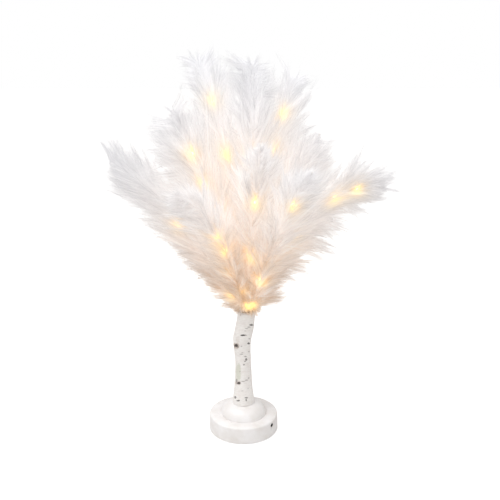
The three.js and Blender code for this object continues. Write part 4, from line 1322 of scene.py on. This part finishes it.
def tufts_of(branch, settings, rng):
    """Each tuft's share of the stem, turn round it, opening and length. Half the tufts lie near the
    vane's plane, most others anywhere, and the last few cover its face. A tuft is as long as the
    plume is wide there, by its opening, and as the room before the tip allows. Those that point
    down are longer low on the plume and shorter near its tip."""
    stem, count = STEMS[branch.name], settings.tufts
    reach = 1 + TIP_REACH * TIP_OVERHANG / stem.length
    spot = (np.arange(count) + rng.random(count)) / count
    share = FLUFF_START + (reach - FLUFF_START) * spot
    side = np.where(rng.random(count) < 0.5, 0.0, np.pi)
    kind = rng.random(count)
    flat = rng.normal(0, FLAT_SPREAD, count)
    anywhere = rng.uniform(-np.pi / 2, np.pi / 2, count)
    roll = side + np.where(kind < FLAT_SHARE, flat, anywhere)
    cover = kind > 1 - COVER_SHARE
    roll = np.where(cover, side + np.pi / 2 + rng.normal(0, COVER_SPREAD, count), roll)
    wide = plume_half_width(branch, share)
    depth = np.minimum(settings.plume_depth / MM, wide)
    girth = np.hypot(wide * np.cos(roll), depth * np.sin(roll))
    opening = np.radians(np.interp(share, OPENING_SHARES, OPENING_ANGLES))
    opening = opening * rng.normal(1, OPENING_SPREAD, count) * np.where(cover, COVER_FLATNESS, 1)
    length = girth / np.sin(np.clip(opening, LEAST_OPENING, MOST_OPENING))
    length = length * rng.uniform(*TUFT_LENGTHS, count)
    room = stem.length * (1 - share) + TIP_ROOM * TIP_OVERHANG
    room = room / np.cos(np.clip(opening, 0, MOST_OPENING))
    length = np.minimum(length, room * rng.uniform(*ROOM_SHARES, count))
    _, _, across, off = stem.at(share)
    down = np.clip(-outward_from(roll, across, off)[:, 2], 0, 1)
    skirt = SKIRT_SHARE * np.clip(1 - share, 0, 1) * np.clip(share / SKIRT_START, 0, 1)
    trim = TIP_TRIM * np.clip((share - TRIM_START) / TRIM_RUN, 0, 1)
    length = length * (1 + down * (skirt - trim))
    return with_strays(branch, rng, share, roll, opening, length)


def barb_lines(branch, settings, rng):
    """Each barb's points, its tone there, the direction off its vane, and the points' shares of
    its length. A tuft leaves the quill at an angle, bends towards the tip, sways and droops by
    the square of the way along. Its barbs share that line, stand apart at its middle, draw
    together near its end, and a few fly loose."""
    members = settings.strands
    share, roll, opening, length = tufts_of(branch, settings, rng)
    count = len(share)
    point, tangent, across, off = STEMS[branch.name].at(share)
    outward = outward_from(roll, across, off)
    start = np.cos(opening)[:, None] * tangent + np.sin(opening)[:, None] * outward
    t = np.linspace(0, 1, BARB_POINTS)
    bend = rng.uniform(*BENDS, count)
    sway = rng.normal(0, SWAY, count)
    droop = rng.uniform(*DROOPS, count)
    droop = droop * np.interp(share, [DROOP_START, 1], [1, TIP_DROOP[branch.ring]])
    ahead = unit(tangent - (tangent * start).sum(1, keepdims=True) * start)
    second = unit(np.cross(start, ahead))
    guide = (
        t[None, :, None] * start[:, None]
        + (bend[:, None] * t**2)[..., None] * ahead[:, None] * BEND_SHARE
        + (sway[:, None] * t**2)[..., None] * np.cross(start, ahead)[:, None]
        - (droop[:, None] * t**2)[..., None] * np.array([0, 0, 1.0])
    )

    angle = rng.uniform(0, 2 * np.pi, (count, members))
    apart = np.cos(angle)[..., None] * ahead[:, None] + np.sin(angle)[..., None] * second[:, None]
    size = settings.tuft_spread / MM * np.sqrt(rng.random((count, members)))
    size = size * np.interp(length, FLUFFED_LENGTHS, FLUFFED_SHARES)[:, None]
    loose = rng.random((count, members)) < LOOSE_SHARE
    size = np.where(loose, LOOSE_SPREAD * size, size)
    hold = np.where(loose[..., None], t, MIDDLE_SPREAD * t * (1 - t) + END_SPREAD * t)
    run = length[:, None] * rng.uniform(*BARB_LENGTHS, (count, members))
    slide = rng.normal(0, BARB_SLIDE, (count, members))
    line = point[:, None, None] + slide[..., None, None] * tangent[:, None, None]
    line = line + guide[:, None] * run[..., None, None]
    line = line + (size[..., None] * hold)[..., None] * apart[:, :, None]
    wave = rng.uniform(0, 2 * np.pi, (count, members, 1)) + WAVE_TURN * t
    line = line + (BARB_WAVE * np.sin(wave) * t)[..., None] * second[:, None, None]
    line = held_inside(line, rng)
    tone = rng.normal(TUFT_TONE, TUFT_TONE_SPREAD, (count, 1))
    tone = tone + rng.normal(0, BARB_TONE_SPREAD, (count, members))
    # Painted shade: each barb turns greyer towards its end
    tone = np.clip(tone.reshape(-1, 1) - END_PAINTED_SHADE * t**2, 0, 1)
    return line.reshape(-1, BARB_POINTS, 3), tone, np.repeat(off, members, 0), t


def ribbons(lines, normal, width):
    """Flat ribbons along lines: each point gives two, half a width to either side across the
    normal."""
    tangent = unit(np.gradient(lines, axis=1))
    aside = unit(np.cross(tangent, normal[:, None]))
    half = 0.5 * width[..., None] * aside
    points = np.stack([lines - half, lines + half], 2)
    number, steps = lines.shape[:2]
    cells = np.arange(number)[:, None] * (2 * steps) + 2 * np.arange(steps - 1)[None]
    cells = cells.ravel()
    return points, np.stack([cells, cells + 1, cells + 3, cells + 2], 1)


class LAMP_OT_plumes(bpy.types.Operator):
    """Grows each plume: a tapering quill with tufts of fine barbs all round it."""

    bl_idname = "lamp.plumes"
    bl_label = "Plumes"

    def execute(self, context):
        settings = context.scene.lamp
        barbs, horn = feather_material(settings), quill_material()
        for number, branch in enumerate(BRANCHES):
            self.grow(branch, settings, np.random.default_rng(100 + number), barbs, horn)
        return {"FINISHED"}

    def grow(self, branch, settings, rng, barbs, horn):
        """Makes one plume and lets it stand for its solid. Tufts deep in the lit crown get a random
        painted
        depth: painted shade makes them greyer and painted warm light warms them, more than those
        outside."""
        lines, tone, normal, t = barb_lines(branch, settings, rng)
        width = settings.strand_width / MM * np.interp(t, WIDTH_PLACES, WIDTH_SHARES)
        coarse = rng.random((len(lines), 1)) < COARSE_SHARE
        coarse = np.where(coarse, COARSE_WIDTH, FINE_WIDTH)
        width = width[None] * coarse * rng.uniform(*WIDTH_SPREAD, coarse.shape)
        twist = unit(normal + BARB_TWIST * rng.normal(0, 1, normal.shape))
        points, quads = ribbons(lines, twist, width)
        painted_warm_light, glow, grey_and_painted_shade = light_in_down(lines)
        # Painted depth: a random amount for each tuft, as strong as the painted warm light there
        painted_depth = rng.normal(0, PAINTED_DEPTH_SPREAD, len(lines) // settings.strands)
        painted_depth = np.repeat(painted_depth, settings.strands)[:, None] * painted_warm_light
        # Painted shade makes the barbs' tone greyer, more so for tufts with more painted depth
        tone = np.clip(tone - grey_and_painted_shade * (1 + painted_depth), 0, 1)
        painted_warm_light = np.clip(painted_warm_light * (1 + PAINTED_DEPTH_WARMTH * painted_depth), 0, 1)
        barb_points = points.size // 3
        quill, quill_faces = capped(self.quill(STEMS[branch.name]), barb_points)
        points = np.concatenate([points.reshape(-1, 3), quill])
        faces, materials = [quads, *quill_faces], [barbs, horn]
        mesh = add_to_branch(
            branch, "feathers", points, faces, materials, "feather", "plume", sharp=0
        )
        # The barbs carry their tone with painted shade, their painted warm light and their painted
        # glow near bulbs
        for key, field in (("tone", tone), ("painted_warm_light", painted_warm_light), ("glow", np.clip(glow, 0, 1))):
            both = np.repeat(field[..., None], 2, 2).ravel()
            add_values(mesh, key, np.concatenate([both, np.zeros(len(quill))]))
        use_second_material(mesh, faces, barb_points)

    def quill(self, stem):
        """The quill past the stem's end: its radius falls to a point along the last stretch."""
        end = 1 + QUILL_OVERHANG * TIP_OVERHANG / stem.length
        share = np.linspace(QUILL_START, end, QUILL_ROWS)
        radius = QUILL_SWELL * STEM_RADIUS * (1 - np.linspace(0, QUILL_TAPER, QUILL_ROWS))
        return stem.tube(share, radius, QUILL_SIDES)


# The frame's own pieces


class LAMP_OT_small_parts(bpy.types.Operator):
    """Gives the frame's visible construction its finishes: door, plate, screws, cells, contacts,
    board and the wooden trunk."""

    bl_idname = "lamp.small_parts"
    bl_label = "Small parts"

    def execute(self, context):
        finishes = {
            slot: moulded_plastic(name, linear(colour), linear(shade), roughness)
            for slot, (name, colour, shade, roughness) in FRAME_PLASTICS.items()
        }
        for slot, (name, colour, roughness) in FRAME_METALS.items():
            finishes[slot] = brushed_metal(name, linear(colour), roughness)
        white, shade = opaque(context.scene.lamp.base_colour), linear("#E9E5E1")
        abs_plastic = moulded_plastic("textured_moulded_abs", white, shade, 0.5, 0.5)
        finishes |= {"white_plastic": abs_plastic, "pulp": raw_wood()}
        slots = {row["node"]: row["material_slot"] for row in FRAME["record"]["subparts"]}
        for name, node in FRAME["nodes"].items():
            if slots[name] in finishes:
                node.data.materials.clear()
                node.data.materials.append(finishes[slots[name]])
        return {"FINISHED"}


# Stage


class LAMP_OT_stage(bpy.types.Operator):
    """Lays the floor, sets the lamps and the white surround, and puts the camera at the
    photograph's view."""

    bl_idname = "lamp.stage"
    bl_label = "Stage"

    def execute(self, context):
        scene = context.scene
        scene.view_settings.view_transform = "Standard"
        self.floor()
        self.surround(scene)
        for row in AREA_LAMPS:
            self.area(*row)
        camera = bpy.data.cameras.new("camera")
        camera.sensor_width = CAMERA_SENSOR
        camera.lens = CAMERA_LENS
        stand = new_object("camera", camera)
        stand.location = [c * MM for c in CAMERA_PLACE]
        stand.rotation_euler = (math.radians(90 - CAMERA_DROP), 0, 0)
        scene.camera = stand
        return {"FINISHED"}

    def floor(self):
        """A wide white sheet that keeps the lamp's shadow and otherwise looks white to the
        camera."""
        corners = FLOOR_HALF * np.array([[-1, -1, 0], [1, -1, 0], [1, 1, 0], [-1, 1, 0]])
        mesh = polygon_mesh("floor", corners, [np.array([[0, 1, 2, 3]])])
        material, tree, shader = new_material("white_paper_sweep", linear("#DEDCDA"), 0.9)
        shader.inputs["Emission Color"].default_value = (1, 1, 1, 1)
        seen = add_node(tree, "ShaderNodeLightPath")["Is Camera Ray"]
        white = add_node(tree, "ShaderNodeMapRange", {"Value": seen, "To Max": FLOOR_WHITE})
        tree.links.new(white["Result"], shader.inputs["Emission Strength"])
        mesh.materials.append(material)
        sheet = new_object("floor", mesh)

    def surround(self, scene):
        """White for the camera, mirrors and glass, and a plain soft light for all else."""
        world = bpy.data.worlds.new("surround")
        scene.world = world
        world.use_nodes = True
        tree = world.node_tree
        rays = add_node(tree, "ShaderNodeLightPath")
        seen = rays["Is Camera Ray"]
        for ray in ("Is Glossy Ray", "Is Transmission Ray"):
            seen = add_node(tree, "ShaderNodeMath", {0: seen, 1: rays[ray]}, operation="MAXIMUM")[0]
        light = add_node(tree, "ShaderNodeMapRange", {"Value": seen, "To Min": SURROUND_LIGHT})
        back = tree.nodes["Background"]
        back.inputs["Color"].default_value = (1, 1, 1, 1)
        tree.links.new(light["Result"], back.inputs["Strength"])

    def area(self, name, place, size, power):
        """A square soft lamp that looks at the lamp's crown."""
        light = bpy.data.lights.new(name, "AREA")
        light.size = size
        light.energy = power
        lamp = new_object(name, light)
        lamp.location = place
        x, y, z = np.array(LAMP_AIM) - np.array(place)
        tilt = math.pi / 2 + math.atan2(z, math.hypot(x, y))
        lamp.rotation_euler = (tilt, 0, math.atan2(-x, y))


class LAMP_PT_panel(bpy.types.Panel):
    """Lists the lamp's pieces in the sidebar."""

    bl_idname = "LAMP_PT_panel"
    bl_label = "Feather tree lamp"
    bl_space_type = "VIEW_3D"
    bl_region_type = "UI"
    bl_category = "Lamp"

    def draw(self, context):
        for operator in OPERATORS:
            self.layout.operator(operator.bl_idname)
        for key in LampSettings.__annotations__:
            self.layout.prop(context.scene.lamp, key)


OPERATORS = (
    LAMP_OT_stage,
    LAMP_OT_base,
    LAMP_OT_trunk,
    LAMP_OT_crown,
    LAMP_OT_branches,
    LAMP_OT_lights,
    LAMP_OT_plumes,
    LAMP_OT_small_parts,
)


def register():
    """Makes the settings, the operators and the panel known."""
    bpy.utils.register_class(LampSettings)
    bpy.types.Scene.lamp = bpy.props.PointerProperty(type=LampSettings)
    for operator in OPERATORS:
        bpy.utils.register_class(operator)
    bpy.utils.register_class(LAMP_PT_panel)


def unregister():
    """Takes them back out."""
    bpy.utils.unregister_class(LAMP_PT_panel)
    for operator in reversed(OPERATORS):
        bpy.utils.unregister_class(operator)
    del bpy.types.Scene.lamp
    bpy.utils.unregister_class(LampSettings)


def main():
    """Builds every piece in order."""
    register()
    for step in ("stage", "base", "trunk", "crown", "branches", "lights", "plumes", "small_parts"):
        getattr(bpy.ops.lamp, step)()


if __name__ == "__main__":
    main()
